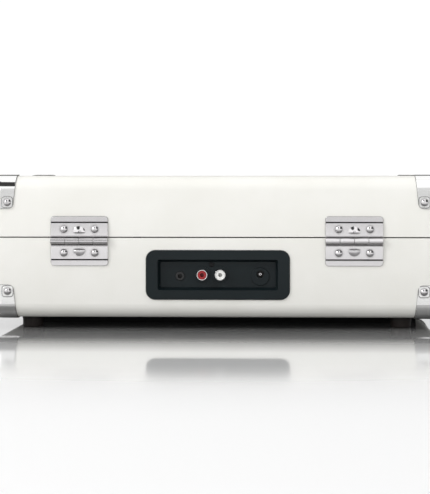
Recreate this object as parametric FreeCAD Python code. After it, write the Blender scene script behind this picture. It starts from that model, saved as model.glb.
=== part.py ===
import FreeCAD, Part
import math
import os
from FreeCAD import Placement, Rotation, Vector

# A suitcase record player, in millimetres. X runs along the case, Y from the handle side (-Y) to the
# hinge side (+Y), Z up. The case is drawn about its own middle, and every piece is moved by case_shift
# along Y when it is written, so that the origin is the bottom centre of the whole object.

# ---- Case: a wooden box covered with leatherette, cut into a base and a lid
case_width = 372.0
case_depth = 260.0
base_height = 64.2
lid_height = 49.0
seam_gap = 0.8
foot_height = 9.0
corner_radius = 14.0        # upright corners, seen from above
edge_radius = 11.0          # long bottom and top edges
board = 5.0                 # wooden wall
skin = 1.0                  # leatherette
turn_in = 8.0               # leatherette folded over the rim and down the inside
rim_rounding = 0.5
cavity_rounding = 4.0
lining = 1.0                # cloth inside the lid

# ---- Feet and their screws
foot_from_cap = (9.4, 1.4)   # along each side, from the metal corner's edge to the foot's middle
foot_top_radius = 9.0
foot_bottom_radius = 7.75
foot_rounding = 0.8
foot_counterbore = 5.0
screw_shank_radius = 1.5
screw_head_radius = 3.0
screw_head_height = 1.8
screw_bite = 8.0            # thread length held by the wood
screw_cover = 1.0           # wood left past a foot screw's end
slot_width = 0.9            # driver slot across a screw head
slot_depth = 0.8
slot_reach = 0.6            # share of the head that the driver cross crosses

# ---- Metal corners and rivets
cap_thickness = 1.0
cap_width = 23.4            # at its free edge, from the side of the case
cap_flare = 3.2             # how much wider it is at the case's top or bottom
cap_height = 26.4
cap_rounding = 4.5
cap_inner_radius = 8.0
rivet_from_side = 19.2
rivet_from_end = 21.3       # from the closed end of the half case
rivet_head_radius = 3.0
rivet_head_height = 1.5
rivet_shank_radius = 1.2
rivet_bite = 3.0
pad_half = 4.2              # square seat pressed up around each corner rivet
pad_corner = 2.0
pad_height = 0.5

# ---- Hinges
hinge_x = 110.0
hinge_shift = -1.2          # the pair's middle from the case's
hinge_width = 45.8
hinge_drop = 2.5            # pin below the base rim
hinge_half_height = 19.7
hinge_step = 14.4           # from the pin to the pressed step
hinge_plate = 1.0
hinge_raise = 0.8
groove_width = 1.0          # crease at the foot of the step
groove_depth = 0.6
hinge_corner = 2.5
knuckle_radius = 2.6
knuckle_count = 4
knuckle_gap = 0.3
hinge_pin_radius = 1.25
hinge_rivet_x = 12.4
hinge_rivet_z = 9.5
stop_radius = 5.0           # half-round stop pressed out of each leaf
stop_height = 1.3
stop_wall = 0.5
stop_place = 7.0
running = 0.05              # radial clearance of a turning fit
tolerance = 1e-4
face_gap = 0.3              # clearance between pieces that pass each other

# ---- Jack panel on the hinge side
panel_x = -2.2
panel_z = 43.6
panel_width = 115.3
panel_height = 39.7
panel_corner = 7.5
panel_plate = 1.6
recess_width = 96.4
recess_height = 24.5
recess_corner = 1.5
recess_depth = 7.0
recess_draft = 2.0
tray_wall = 1.8
tray_floor = 2.0
aux_place = (-30.5, -1.2)   # right and up from the panel's middle, seen from behind
red_place = (-12.5, 0.0)
white_place = (2.0, 0.0)
power_place = (34.0, -1.5)
panel_screw_place = (-5.2, 8.1)
small_shank_radius = 1.0
small_head_radius = 2.0
small_head_height = 1.2
aux_nose_radius = 3.6
aux_bore_radius = 1.8
aux_nose_height = 1.0
rca_shell_radius = 4.15
rca_shell_wall = 0.45
rca_length = 8.3
rca_seat_radius = 4.4       # thicker root that the panel holds
rca_collar_radius = 6.4     # ring moulded on the panel round each socket
rca_collar_height = 0.8
rca_bore_radius = 1.6
rca_insert_drop = 0.5
power_boss_radius = 7.2
power_boss_height = 1.2
power_bore_radius = 3.0
power_bore_up = 2.0
power_pin_radius = 1.05
power_pin_drop = 0.5        # pin's end below the boss
power_pin_dimple = 0.5
power_spring_width = 1.2
power_spring_thickness = 0.6
power_spring_gap = 0.1
jack_body = 10.0
power_body = 11.0
jack_back_wall = 1.0
board_thickness = 1.6
jack_board_gap = 6.0        # from the tray to the circuit board behind it
jack_board_width = 88.0
jack_board_height = 22.0

# ---- Speakers behind the front wall
speaker_x = 112.0
speaker_z = 36.0
grille_width = 78.0
grille_height = 30.0
grille_corner = 6.0
grille_plate = 1.0
grille_lip = 3.0
grille_hole_radius = 1.5
grille_pitch = 4.6
grille_margin = 3.2
speaker_radius = 16.0
speaker_flange = 2.0
speaker_cone_depth = 9.0
speaker_magnet_radius = 10.0
speaker_magnet_depth = 8.0
speaker_web = 1.0
speaker_cone_radius = 13.0

# ---- Deck and platter
deck_drop = 4.0             # deck top below the base rim
deck_thickness = 3.0
deck_gap = 0.4
block_size = 16.0           # glued corner blocks under the deck
deck_screw_inset = 11.0
platter_radius = 100.0
platter_disc = 3.0
platter_rounding = 1.0
platter_skirt_wall = 3.0
platter_lift = 2.0          # skirt above the deck
mat_top_above_rim = 9.3
mat_thickness = 1.5
mat_margin = 2.0
belt_rim_radius = 70.0
belt_rim_wall = 3.0
hub_radius = 9.0
spindle_radius = 3.57
spindle_seat_radius = 4.0   # thicker part that the platter and mat sit round
spindle_tip = 0.8           # rounding of its top, as a share of its radius
spindle_above_mat = 13.0
shaft_radius = 3.0
shaft_depth = 20.0
bush_wall = 3.0
bush_flange_radius = 10.0
bush_flange = 1.2

# ---- Motor and belt
motor_distance = 82.0       # pulley to spindle
motor_bearing = 225.0       # direction of the motor from the spindle, degrees from +X
pulley_radius = 5.5
pulley_flange_radius = 7.0
pulley_height = 6.8
belt_thickness = 0.6
belt_height = 4.4
belt_gap = 0.3
belt_below_disc = 1.5
motor_radius = 16.0
motor_height = 22.0
motor_rounding = 1.5
motor_shaft_radius = 1.0
motor_shaft_hold = 8.0

# ---- Tonearm and what carries it
pivot_inset_x = 62.0        # from the inner wall on the control side
pivot_inset_y = 40.0        # from the inner wall on the hinge side
spindle_from_pivot_x = 164.0
spindle_y = 0.0
arm_overhang = 15.0
tube_radius = 4.0
tube_above_mat = 14.0
stylus_above_mat = 2.0
plinth_radius = 22.0
plinth_height = 8.0
arm_rounding = 1.0
bury = 0.5                  # how far joined forms of one solid reach into each other
pivot_shaft_radius = 4.0
pivot_shaft_past = 4.0      # below the deck
turntable_radius = 16.0
turntable_height = 4.0
yoke_half_gap = 9.5
yoke_thickness = 3.5
yoke_depth = 7.0
cross_pin_radius = 1.5
hub_half_width = 8.5
arm_hub_radius = 6.5
weight_radius = 10.5
weight_length = 16.0
tube_tail = 35.5
stub_inset = 1.0
head_length = 38.0
head_half_width = 8.5
head_thickness = 5.0
head_overrun = 5.0          # headshell past the stylus
head_cover = 1.0            # headshell above its middle plane's half thickness
head_corner = 3.0
head_rounding = 1.2
finger_reach = 7.0          # lifting tab beside the headshell
finger_from_front = 3.0
finger_depth = 4.0
finger_low = 1.0
finger_thickness = 1.5
finger_roll_radius = 1.5
cartridge_width = 13.0
cartridge_length = 19.0
cartridge_height = 7.0
cartridge_ahead = 3.0       # past the stylus
stylus_width = 6.0
stylus_length = 12.0
stylus_block = 2.0
stylus_ahead = 1.5
needle_radius = 0.8
needle_tip_radius = 0.2
rest_y = -30.0
rest_half_depth = 3.5
rest_wall = 2.2
rest_half_width = 4.5
rest_foot_margin = 3.0
rest_foot_height = 2.0
clip_rise = 1.0             # clip's pin above the tube's middle
clip_thickness = 2.2
clip_barrel_radius = 2.5
clip_pin_radius = 1.2
clip_hook = 4.0
clip_root = 2.0

# ---- Cueing lift
lift_reach = 47.0           # from the arm's pivot to the lift bar
lift_bar_half_width = 2.0
lift_bar_thickness = 3.0
lift_arc = (-6.0, 52.0)     # degrees covered by the bar, from the resting arm
lift_post_radius = 2.5
lift_post_depth = 14.0
lift_guide_radius = 6.5
lift_guide_height = 10.0
lift_link_half_width = 5.0
lever_block_half = 5.0
lever_shaft_radius = 2.0
lever_y_from_pivot = -28.5
lever_z_above_deck = 6.8
lever_length = 26.0
lever_width = 5.0
lever_thickness = 3.0
lever_boss_radius = 3.5
lever_shaft_inset = 3.0     # its shaft's end from the arm's pivot
lever_inset_x = 32.5        # lever from the inner wall

# ---- Controls on the deck
control_inset_x = 30.0
volume_inset_y = 26.0
function_spacing = 38.0
knob_radius = 12.5
knob_height = 13.0
knob_rounding = 1.2
knob_lift = 0.8
knob_shaft_radius = 3.0
knob_shaft_gap = 0.5        # below the shaft's end
marker_width = 1.2
marker_depth = 0.5
marker_start = 0.35         # share of the knob's radius
pot_size = 17.0
pot_height = 9.0
pot_neck_radius = 4.0
jack_row_inset_y = 12.0
headphone_x_inset = 100.0
lamp_x_inset = 84.0
headphone_nose_radius = 5.0
headphone_bore_radius = 3.2
headphone_body = 12.0
headphone_flange = 1.5
headphone_flange_height = 0.8
lamp_radius = 2.5
lamp_body = 3.0
speed_inset = (40.0, 24.0)
speed_travel = 8.0
autostop_offset = (-54.0, 28.0)
autostop_travel = 4.0
slider_width = 6.0
slider_height = 5.0
slider_neck = 2.4
slider_tail = 5.0
slider_rounding = 0.6
switch_body = (26.0, 10.0, 7.0)
well_offset = (4.9, -5.6)   # from a well that just misses both sides of the corner block
adapter_radius = 18.8
adapter_height = 9.0
adapter_clear = 0.8
adapter_bore_radius = 3.7
adapter_rounding = 1.0
well_depth = 6.0
well_wall = 2.0

# ---- Handle and latches on the front
handle_half_width = 50.0
handle_standoff = 8.0
handle_pivot_z = 57.0
handle_arm = 30.0
handle_thickness = 14.0
handle_end = 9.0
handle_neck_radius = 4.9
handle_pin_inset = 0.5
handle_pin_radius = 2.2
bracket_thickness = 4.0
bracket_plate = 1.5
bracket_height = 20.0
bracket_width = 13.0
latch_x = 92.0
latch_width = 26.0
latch_plate = 1.2
latch_plate_height = 17.0
latch_plate_drop = 1.6      # plate's top below the rim
latch_pivot_drop = 13.0     # lever's pin below the rim
latch_standoff = 4.3
latch_barrel_radius = 2.5
latch_pin_radius = 1.2
latch_ear = 2.0
latch_lever_plate = 1.4
latch_lip_height = 7.0      # catch lip above the lid's rim
latch_lip_thickness = 1.6
latch_lip_reach = 2.6
latch_hook = 1.4
latch_tab_out = 2.0
latch_tab_height = 3.0
catch_above_rim = 2.0
catch_above_lip = 6.0

# ---- Internal boards and leads
main_board_size = (84.0, 56.0)
main_board_middle = (62.0, -34.0)
standoff_height = 6.0
standoff_radius = 3.0
heat_sink = (20.0, 12.0, 14.0)
heat_sink_middle = (-2.0, -14.0)
capacitor_radius = 4.0
capacitor_height = 11.0
capacitor_places = ((-30.0, 8.0), (-20.0, 8.0), (20.0, 8.0))
lead_radius = 0.9
lead_gap = 1.0              # from the board to a lead's end
lead_bend = 0.45            # share of the shorter run that each bend takes
# Bends of each lead: those counted from its start at the board, then those counted from its other end.
lead_bends = {
    "jacks": (((-6.0, 23.0, -0.6),), ((46.0, -36.0, -16.6), (4.0, -16.0, -2.0))),
    "right speaker": (((13.0, -12.0, -0.6),), ((14.0, 28.0, -4.0),)),
    "left speaker": (((-33.0, -6.0, -0.6),), ((30.0, 20.0, -7.0),)),
    "motor": (((-29.0, -2.0, -0.6),), ((34.0, 12.0, -16.3),)),
    "switch": (((19.0, -4.0, 5.4),), ((-6.0, -12.0, -14.0),)),
}
lead_board_y = {"right speaker": 0.0, "left speaker": -10.0, "motor": 12.0, "switch": 14.0}
lead_end = 4.0              # from a jack's or speaker's middle to its lead

# ---- Worked out from the above
half_x = case_width / 2
half_y = case_depth / 2
wall = board + skin
inner_x = half_x - wall
inner_y = half_y - wall
inner_radius = corner_radius - wall
base_bottom = foot_height
base_floor = base_bottom + wall
base_rim = base_bottom + base_height
lid_rim = base_rim + seam_gap
lid_top = lid_rim + lid_height
deck_top = base_rim - deck_drop
deck_bottom = deck_top - deck_thickness
foot_x = half_x - cap_width - cap_flare - foot_from_cap[0]
foot_y = half_y - cap_width - cap_flare - foot_from_cap[1]
hinge_y = half_y + knuckle_radius + face_gap
hinge_z = base_rim - hinge_drop
handle_y = half_y + handle_standoff
handle_half_thickness = handle_thickness / 2
pivot_x = inner_x - pivot_inset_x
pivot_y = inner_y - pivot_inset_y
spindle_x = pivot_x - spindle_from_pivot_x
arm_length = math.hypot(spindle_from_pivot_x, pivot_y - spindle_y) + arm_overhang
mat_top = base_rim + mat_top_above_rim
platter_top = mat_top - mat_thickness
platter_under = platter_top - platter_disc
skirt_bottom = deck_top + platter_lift
spindle_top = mat_top + spindle_above_mat
tube_z = mat_top + tube_above_mat
stylus_tip = mat_top + stylus_above_mat
motor_x = spindle_x + motor_distance * math.cos(math.radians(motor_bearing))
motor_y = spindle_y + motor_distance * math.sin(math.radians(motor_bearing))
belt_low = platter_under - belt_below_disc - belt_height
pulley_low = belt_low - (pulley_height - belt_height) / 2
control_x = inner_x - control_inset_x
volume_y = volume_inset_y - inner_y
function_y = volume_y + function_spacing
lever_x = inner_x - lever_inset_x
lever_y = pivot_y + lever_y_from_pivot
lever_z = deck_top + lever_z_above_deck
speed_x = speed_inset[0] - inner_x
speed_y = speed_inset[1] - inner_y
autostop_x = pivot_x + autostop_offset[0]
autostop_y = pivot_y + autostop_offset[1]
well_radius = adapter_radius + adapter_clear
well_inset = block_size + well_radius + well_wall
well_x = well_inset + well_offset[0] - inner_x
well_y = inner_y - well_inset - well_offset[1]
clip_x = pivot_x + rest_half_width + rest_wall + clip_barrel_radius + face_gap
clip_z = tube_z + clip_rise
latch_pivot_y = -half_y - latch_standoff
latch_pivot_z = base_rim - latch_pivot_drop
latch_lip_z = lid_rim + latch_lip_height
front_reach = handle_y + handle_half_thickness
rear_reach = hinge_y + knuckle_radius
case_shift = (front_reach - rear_reach) / 2

UP = Vector(0, 0, 1)
RIGHT = Vector(1, 0, 0)
BACK = Vector(0, 1, 0)
ORIGIN = Vector(0, 0, 0)
facing_back = Rotation(UP, 180).multiply(Rotation(RIGHT, 90))
facing_front = Rotation(RIGHT, 90)
bodies = {}


# ---- Plain shapes
def box(x_low, x_high, y_low, y_high, z_low, z_high):
    return Part.makeBox(x_high - x_low, y_high - y_low, z_high - z_low, Vector(x_low, y_low, z_low))


def post(radius, z_low, z_high, x=0.0, y=0.0):
    return Part.makeCylinder(radius, z_high - z_low, Vector(x, y, z_low))


def tube(outer, inner, z_low, z_high, x=0.0, y=0.0):
    return post(outer, z_low, z_high, x, y).cut(post(inner, z_low, z_high, x, y))


def rod_x(radius, x_low, x_high, y, z):
    return Part.makeCylinder(radius, x_high - x_low, Vector(x_low, y, z), RIGHT)


def rod_y(radius, y_low, y_high, x, z):
    return Part.makeCylinder(radius, y_high - y_low, Vector(x, y_low, z), BACK)


def rounded_outline(half_u, half_v, radius):
    """A closed wire: a rectangle about the origin with four round corners."""
    slant = radius * (1 - math.sqrt(0.5))
    edges = []
    for turn in range(4):
        u, v = (half_u, half_v) if turn % 2 == 0 else (half_v, half_u)
        arc = Part.Arc(Vector(u, v - radius, 0), Vector(u - slant, v - slant, 0), Vector(u - radius, v, 0))
        side = Part.LineSegment(Vector(u - radius, v, 0), Vector(radius - u, v, 0))
        for curve in (arc, side):
            edge = curve.toShape()
            edge.rotate(ORIGIN, UP, 90 * turn)
            edges.append(edge)
    return Part.Wire(Part.__sortEdges__(edges))


def rounded_block(half_u, half_v, radius, low, high, x=0.0, y=0.0):
    """An upright block with a rounded outline."""
    block = Part.Face(rounded_outline(half_u, half_v, radius)).extrude(Vector(0, 0, high - low))
    block.translate(Vector(x, y, low))
    return block


def polygon_block(points, along):
    """A straight block on an outline of corner points, pushed along a vector."""
    outline = Part.makePolygon([Vector(*p) for p in points] + [Vector(*points[0])])
    return Part.Face(outline).extrude(along)


def joined(shapes):
    whole = shapes[0].fuse(shapes[1:]) if len(shapes) > 1 else shapes[0]
    return whole.removeSplitter()


def group(shapes):
    return Part.makeCompound(shapes)


def placed(shape, x, y, z, rotation):
    moved = shape.copy()
    moved.Placement = Placement(Vector(x, y, z), rotation).multiply(moved.Placement)
    return moved


def on_back(shape, x, z):
    """Puts a shape drawn flat, its outside up, on the hinge side of the case."""
    return placed(shape, x, half_y, z, facing_back)


def on_front(shape, x, z):
    return placed(shape, x, -half_y, z, facing_front)


def mirrored_x(shape):
    return shape.mirror(ORIGIN, RIGHT)


def four_corners(shape):
    """The shape and its mirror images in the two middle planes of the case."""
    other = mirrored_x(shape)
    return [shape, other, shape.mirror(ORIGIN, BACK), other.mirror(ORIGIN, BACK)]


def upside_down(shape):
    """Turns something drawn for the base over, so that it fits the lid."""
    return shape.mirror(ORIGIN, UP)


def edges_at(shape, z):
    """Edges that lie wholly at one height."""
    return [e for e in shape.Edges
            if abs(e.BoundBox.ZMin - z) < tolerance and abs(e.BoundBox.ZMax - z) < tolerance]


# ---- Case
def tub(inset, height, top_inset=0.0):
    """The solid form of a half case, closed end down at z = inset, open end at z = height - top_inset."""
    rounding = max(edge_radius - inset, cavity_rounding)
    form = rounded_block(
        half_x - inset, half_y - inset, corner_radius - inset, inset, height - top_inset
    )
    return form.makeFillet(rounding, edges_at(form, inset))


def half_carcass(height):
    """The wooden walls of a half case, rebated inside the rim for the folded leatherette."""
    rebate = rounded_block(
        inner_x + skin, inner_y + skin, inner_radius + skin, height - turn_in, height
    )
    return tub(skin, height, skin).cut(tub(wall, height + skin)).cut(rebate)


def half_wrap(height):
    """The leatherette: outside, over the rim and down the inside by the turn-in."""
    outer = tub(0.0, height)
    outer = outer.makeFillet(rim_rounding, edges_at(outer, height))
    inside = rounded_block(inner_x, inner_y, inner_radius, height - turn_in, height + skin)
    rebate = rounded_block(
        inner_x + skin, inner_y + skin, inner_radius + skin, height - turn_in, height - skin
    )
    core = tub(skin, height, skin).cut(rebate)
    return outer.cut(core).cut(inside)


def lift_to_base(shape):
    shape.translate(Vector(0, 0, base_bottom))
    return shape


def lift_to_lid(shape):
    turned = upside_down(shape)
    turned.translate(Vector(0, 0, lid_top))
    return turned


def corner_blocks():
    """Glued wooden blocks that carry the deck, trimmed to the inside of the case, closed end at z = 0."""
    low, high = skin + board / 2, deck_bottom - base_bottom
    inside = rounded_block(inner_x, inner_y, inner_radius, low, high)
    corner = box(inner_x - block_size, half_x, inner_y - block_size, half_y, low, high)
    return [shape.common(inside) for shape in four_corners(corner)]


# ---- Rivets
def rivet(head_radius, head_height, shank_radius, length):
    """A domed rivet on the z = 0 plane, its shank pointing down."""
    sphere_radius = (head_radius ** 2 + head_height ** 2) / (2 * head_height)
    ball = Part.makeSphere(sphere_radius, Vector(0, 0, head_height - sphere_radius))
    dome = ball.common(post(2 * head_radius, 0.0, 2 * head_height))
    return joined([dome, post(shank_radius, -length, 0.0)])


def corner_rivet_places():
    """Place and outward direction of each rivet of one corner of a half case, closed end at z = 0."""
    out = cap_thickness + pad_height
    side, end = rivet_from_side, rivet_from_end
    return [
        (Vector(half_x - side, half_y + out, end), BACK),
        (Vector(half_x + out, half_y - side, end), RIGHT),
    ]


def at_rivets(shape, places):
    return [placed(shape, p.x, p.y, p.z, Rotation(UP, out)) for p, out in places]


def corner_rivets():
    length = pad_height + cap_thickness + skin + rivet_bite
    one = rivet(rivet_head_radius, rivet_head_height, rivet_shank_radius, length)
    solids = []
    for shape in at_rivets(one, corner_rivet_places()):
        solids += four_corners(shape)
    return solids


def corner_rivet_holes():
    length = pad_height + cap_thickness + skin + rivet_bite
    solids = []
    for shape in at_rivets(post(rivet_shank_radius, -length, rivet_head_height), corner_rivet_places()):
        solids += four_corners(shape)
    return solids


def corner_window():
    """The space that one metal corner may fill: it flares towards the closed end of the case."""
    far = half_x + half_y
    wires = []
    for z, width in ((cap_height, cap_width), (-cap_flare, cap_width + cap_flare)):
        x, y, r = half_x - width, half_y - width, cap_inner_radius
        mid = r * (1 - math.sqrt(0.5))
        arc = Part.Arc(Vector(x + r, y, z), Vector(x + mid, y + mid, z), Vector(x, y + r, z)).toShape()
        rest = Part.makePolygon([Vector(x, y + r, z), Vector(x, far, z), Vector(far, far, z),
                                 Vector(far, y, z), Vector(x + r, y, z)])
        wires.append(Part.Wire(Part.__sortEdges__([arc] + rest.Edges)))
    flared = Part.makeLoft(wires, True, True)
    free = [e for e in edges_at(flared, cap_height)
            if min(e.BoundBox.XMax, e.BoundBox.YMax) < max(half_x, half_y)]
    return flared.makeFillet(cap_rounding, free)


def metal_corner(height):
    """One pressed metal corner for the +X +Y corner of a half case with its closed end at z = 0."""
    grown = corner_form(cap_thickness, height)
    cap = grown.cut(corner_form(0.0, height)).common(corner_window())
    pad = rounded_block(pad_half, pad_half, pad_corner, -pad_height - cap_thickness / 2, 0.0)
    return joined([cap] + at_rivets(pad, corner_rivet_places()))


def corner_form(grow, height):
    """The +X +Y quarter of the half case, grown outwards by a thickness."""
    form = rounded_block(half_x + grow, half_y + grow, corner_radius + grow, -grow, height)
    form = form.makeFillet(edge_radius + grow, edges_at(form, -grow))
    reach = half_x + half_y
    return form.common(box(0, reach, 0, reach, -reach, reach))


def case_pieces():
    """Base and lid: wood, leatherette, metal corners, rivets and the lid's cloth lining."""
    base_caps = four_corners(metal_corner(base_height))
    lid_caps = four_corners(metal_corner(lid_height))
    holes = corner_rivet_holes()
    for node, height, lift in (("base", base_height, lift_to_base), ("lid", lid_height, lift_to_lid)):
        wood = half_carcass(height)
        if node == "base":
            wood = joined([wood] + corner_blocks())
        bodies[node + "_carcass"] = lift(wood.cut(holes))
        bodies[node + "_wrap"] = lift(half_wrap(height).cut(holes))
    bodies["base_corners"] = lift_to_base(group(cut_each(base_caps, holes)))
    bodies["lid_corners"] = lift_to_lid(group(cut_each(lid_caps, holes)))
    bodies["base_rivets"] = lift_to_base(group(corner_rivets()))
    bodies["lid_rivets"] = lift_to_lid(group(corner_rivets()))
    cloth = tub(wall, lid_height - turn_in).cut(tub(wall + lining, lid_height))
    bodies["lid_lining"] = lift_to_lid(cloth)


def cut_each(shapes, tools):
    return [shape.cut(tools) for shape in shapes]


def cut_from(node, tools):
    bodies[node] = bodies[node].cut(tools)


def add_to(node, shapes):
    """Adds separate solids to a node that already holds a group."""
    solids = bodies[node].Solids if node in bodies else []
    bodies[node] = group(solids + shapes)


# ---- Feet
def foot():
    cone = Part.makeCone(foot_bottom_radius, foot_top_radius, foot_height)
    cone = cone.makeFillet(foot_rounding, edges_at(cone, 0.0))
    well = post(screw_head_radius + face_gap, 0.0, foot_counterbore)
    return cone.cut(well).cut(post(screw_shank_radius, 0.0, foot_height))


def pan_screw(length, head_radius=screw_head_radius, head_height=screw_head_height,
              shank_radius=screw_shank_radius):
    """A pan-head screw with its head on the z = 0 plane and its thread below."""
    head = post(head_radius, 0.0, head_height)
    head = head.makeFillet(head_height / 2, edges_at(head, head_height))
    reach = head_radius * slot_reach
    for turn in (0, 90):
        slot = box(-reach, reach, -slot_width / 2, slot_width / 2, head_height - slot_depth, head_height)
        slot.rotate(ORIGIN, UP, turn)
        head = head.cut(slot)
    return joined([head, post(shank_radius, -length, 0.0)])


def foot_pieces():
    length = foot_height - foot_counterbore + wall - screw_cover
    feet, screws, holes = [], [], []
    flip = Rotation(RIGHT, 180)
    for x in (-foot_x, foot_x):
        for y in (-foot_y, foot_y):
            feet.append(placed(foot(), x, y, 0.0, Rotation()))
            screws.append(placed(pan_screw(length), x, y, foot_counterbore, flip))
            holes.append(post(screw_shank_radius, foot_height, foot_counterbore + length, x, y))
    bodies["feet"] = group(feet)
    add_to("screws", screws)
    cut_from("base_carcass", holes)
    cut_from("base_wrap", holes)


# ---- Hinges, drawn flat: right, up and out of the back, with the pin along the first axis
pin_out = knuckle_radius + face_gap
knuckle_pitch = hinge_width / knuckle_count


def knuckle_span(index):
    low = -hinge_width / 2 + index * knuckle_pitch
    return low + (knuckle_gap / 2 if index else 0.0), low + knuckle_pitch - (
        knuckle_gap / 2 if index < knuckle_count - 1 else 0.0)


def hinge_leaf(own, bore):
    """The lower leaf: a plate with a pressed step, its own knuckles, a stop and rivet holes."""
    half = hinge_width / 2
    low_plate = box(-half, half, -hinge_half_height, -hinge_step, 0.0, hinge_plate)
    corners = [e for e in low_plate.Edges if abs(e.BoundBox.YMax + hinge_half_height) < tolerance
               and e.BoundBox.ZLength > hinge_plate / 2]
    low_plate = low_plate.makeFillet(hinge_corner, corners)
    top = hinge_raise + hinge_plate
    relief = knuckle_radius + face_gap
    plate = box(-half, half, -hinge_step, -relief, hinge_raise, top)
    step = box(-half, half, -hinge_step, -hinge_step + hinge_plate, 0.0, top)
    shapes = [low_plate, plate, step]
    for index in own:
        low, high = knuckle_span(index)
        shapes.append(rod_x(knuckle_radius, low, high, 0.0, pin_out))
        shapes.append(box(low, high, -relief - hinge_plate, 0.0, hinge_raise, top))
    groove = box(-half, half, -hinge_step - groove_width, -hinge_step,
                 hinge_plate - groove_depth, hinge_plate)
    leaf = joined(shapes + [stop_boss()]).cut(groove)
    for index in own:
        low, high = knuckle_span(index)
        leaf = leaf.cut(rod_x(bore, low, high, 0.0, pin_out))
    for x in (-hinge_rivet_x, hinge_rivet_x):
        leaf = leaf.cut(post(rivet_shank_radius, 0.0, top, x, -hinge_rivet_z))
    return leaf.cut(stop_hollow())


def half_round(radius, low, high):
    """Half a shallow dome, its flat side up towards the pin."""
    sphere = (radius ** 2 + high ** 2) / (2 * high)
    ball = Part.makeSphere(sphere, Vector(0, 0, high - sphere)).common(
        box(-radius, radius, -radius, 0.0, low, 2 * high))
    ball.translate(Vector(0, -stop_place, hinge_raise + hinge_plate))
    return ball


def stop_boss():
    return half_round(stop_radius, -hinge_plate / 2, stop_height)


def stop_hollow():
    return half_round(stop_radius - stop_wall, -2 * hinge_plate, stop_height - stop_wall)


def hinge_pieces():
    base_leaves, lid_leaves, pins, base_rivets, lid_rivets = [], [], [], [], []
    base_leaf = hinge_leaf((0, 2), hinge_pin_radius)
    lid_leaf = hinge_leaf((0, 2), hinge_pin_radius + running)
    lid_leaf.rotate(ORIGIN, UP, 180)
    top = hinge_raise + hinge_plate
    length = top + skin + rivet_bite
    one = rivet(rivet_head_radius, rivet_head_height, rivet_shank_radius, length)
    pin = rod_x(hinge_pin_radius, -hinge_width / 2, hinge_width / 2, 0.0, pin_out)
    base_holes, lid_holes = [], []
    for x in (hinge_shift - hinge_x, hinge_shift + hinge_x):
        base_leaves.append(on_back(base_leaf, x, hinge_z))
        lid_leaves.append(on_back(lid_leaf, x, hinge_z))
        pins.append(on_back(pin, x, hinge_z))
        for u in (-hinge_rivet_x, hinge_rivet_x):
            for v, rivets, holes in ((-hinge_rivet_z, base_rivets, base_holes),
                                     (hinge_rivet_z, lid_rivets, lid_holes)):
                there = placed(one, u, v, top, Rotation())
                rivets.append(on_back(there, x, hinge_z))
                holes.append(on_back(post(rivet_shank_radius, top - length, 0.0, u, v), x, hinge_z))
    bodies["hinge_base_leaves"] = group(base_leaves)
    bodies["hinge_lid_leaves"] = group(lid_leaves)
    add_to("hinge_and_latch_pins", pins)
    add_to("base_rivets", base_rivets)
    add_to("lid_rivets", lid_rivets)
    for half, holes in (("base", base_holes), ("lid", lid_holes)):
        cut_from(half + "_carcass", holes)
        cut_from(half + "_wrap", holes)


# ---- Jack panel, drawn flat: right and up as seen from behind, out of the case upwards
floor_out = panel_plate - recess_depth
tray_out = floor_out - tray_floor
jack_board_out = tray_out - jack_board_gap


def recess_form():
    wires = []
    for out, less in ((panel_plate, 0.0), (floor_out, recess_draft)):
        wire = rounded_outline(recess_width / 2 - less, recess_height / 2 - less, recess_corner)
        wire.translate(Vector(0, 0, out))
        wires.append(wire)
    return Part.makeLoft(wires, True, True)


def jack_panel():
    half_u, half_v = recess_width / 2 + tray_wall, recess_height / 2 + tray_wall
    plate = rounded_block(panel_width / 2, panel_height / 2, panel_corner, 0.0, panel_plate)
    plate = plate.makeFillet(panel_plate / 2, edges_at(plate, panel_plate))
    tray = rounded_block(half_u, half_v, recess_corner + tray_wall, tray_out, panel_plate / 2)
    shell = joined([plate, tray]).cut(recess_form())
    boss = post(power_boss_radius, tray_out, floor_out + power_boss_height, *power_place)
    boss = boss.makeFillet(power_boss_height / 3, edges_at(boss, floor_out + power_boss_height))
    collar_top = floor_out + rca_collar_height
    collars = [post(rca_collar_radius, tray_out, collar_top, *place) for place in (red_place, white_place)]
    shell = joined([shell, boss] + collars)
    u, v = power_place
    holes = [post(power_bore_radius, tray_out, panel_plate, u, v + power_bore_up)]
    holes.append(post(aux_nose_radius, tray_out, floor_out, *aux_place))
    holes.append(post(small_shank_radius, tray_out, floor_out, *panel_screw_place))
    for place in (red_place, white_place):
        holes.append(post(rca_seat_radius, tray_out, collar_top, *place))
    return shell.cut(holes)


def rca_shell():
    inner = rca_shell_radius - rca_shell_wall
    root_top = floor_out + rca_collar_height
    root = tube(rca_seat_radius, inner, jack_board_out, root_top)
    return joined([root, tube(rca_shell_radius, inner, root_top, floor_out + rca_length)])


def rca_insert():
    top = floor_out + rca_length - rca_insert_drop
    core = post(rca_shell_radius - rca_shell_wall, tray_out, top)
    return core.cut(post(rca_bore_radius, floor_out, top))


def aux_jack():
    u, v = aux_place
    nose = post(aux_nose_radius, jack_board_out, floor_out + aux_nose_height, u, v)
    rim = edges_at(nose, floor_out + aux_nose_height)
    nose = nose.makeFillet(aux_nose_height / 2, rim)
    half = jack_body / 2
    body = box(u - half, u + half, v - half, v + half, jack_board_out, tray_out)
    bore = post(aux_bore_radius, jack_board_out + jack_back_wall, floor_out + 2 * aux_nose_height, u, v)
    return joined([nose, body]).cut(bore)


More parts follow.
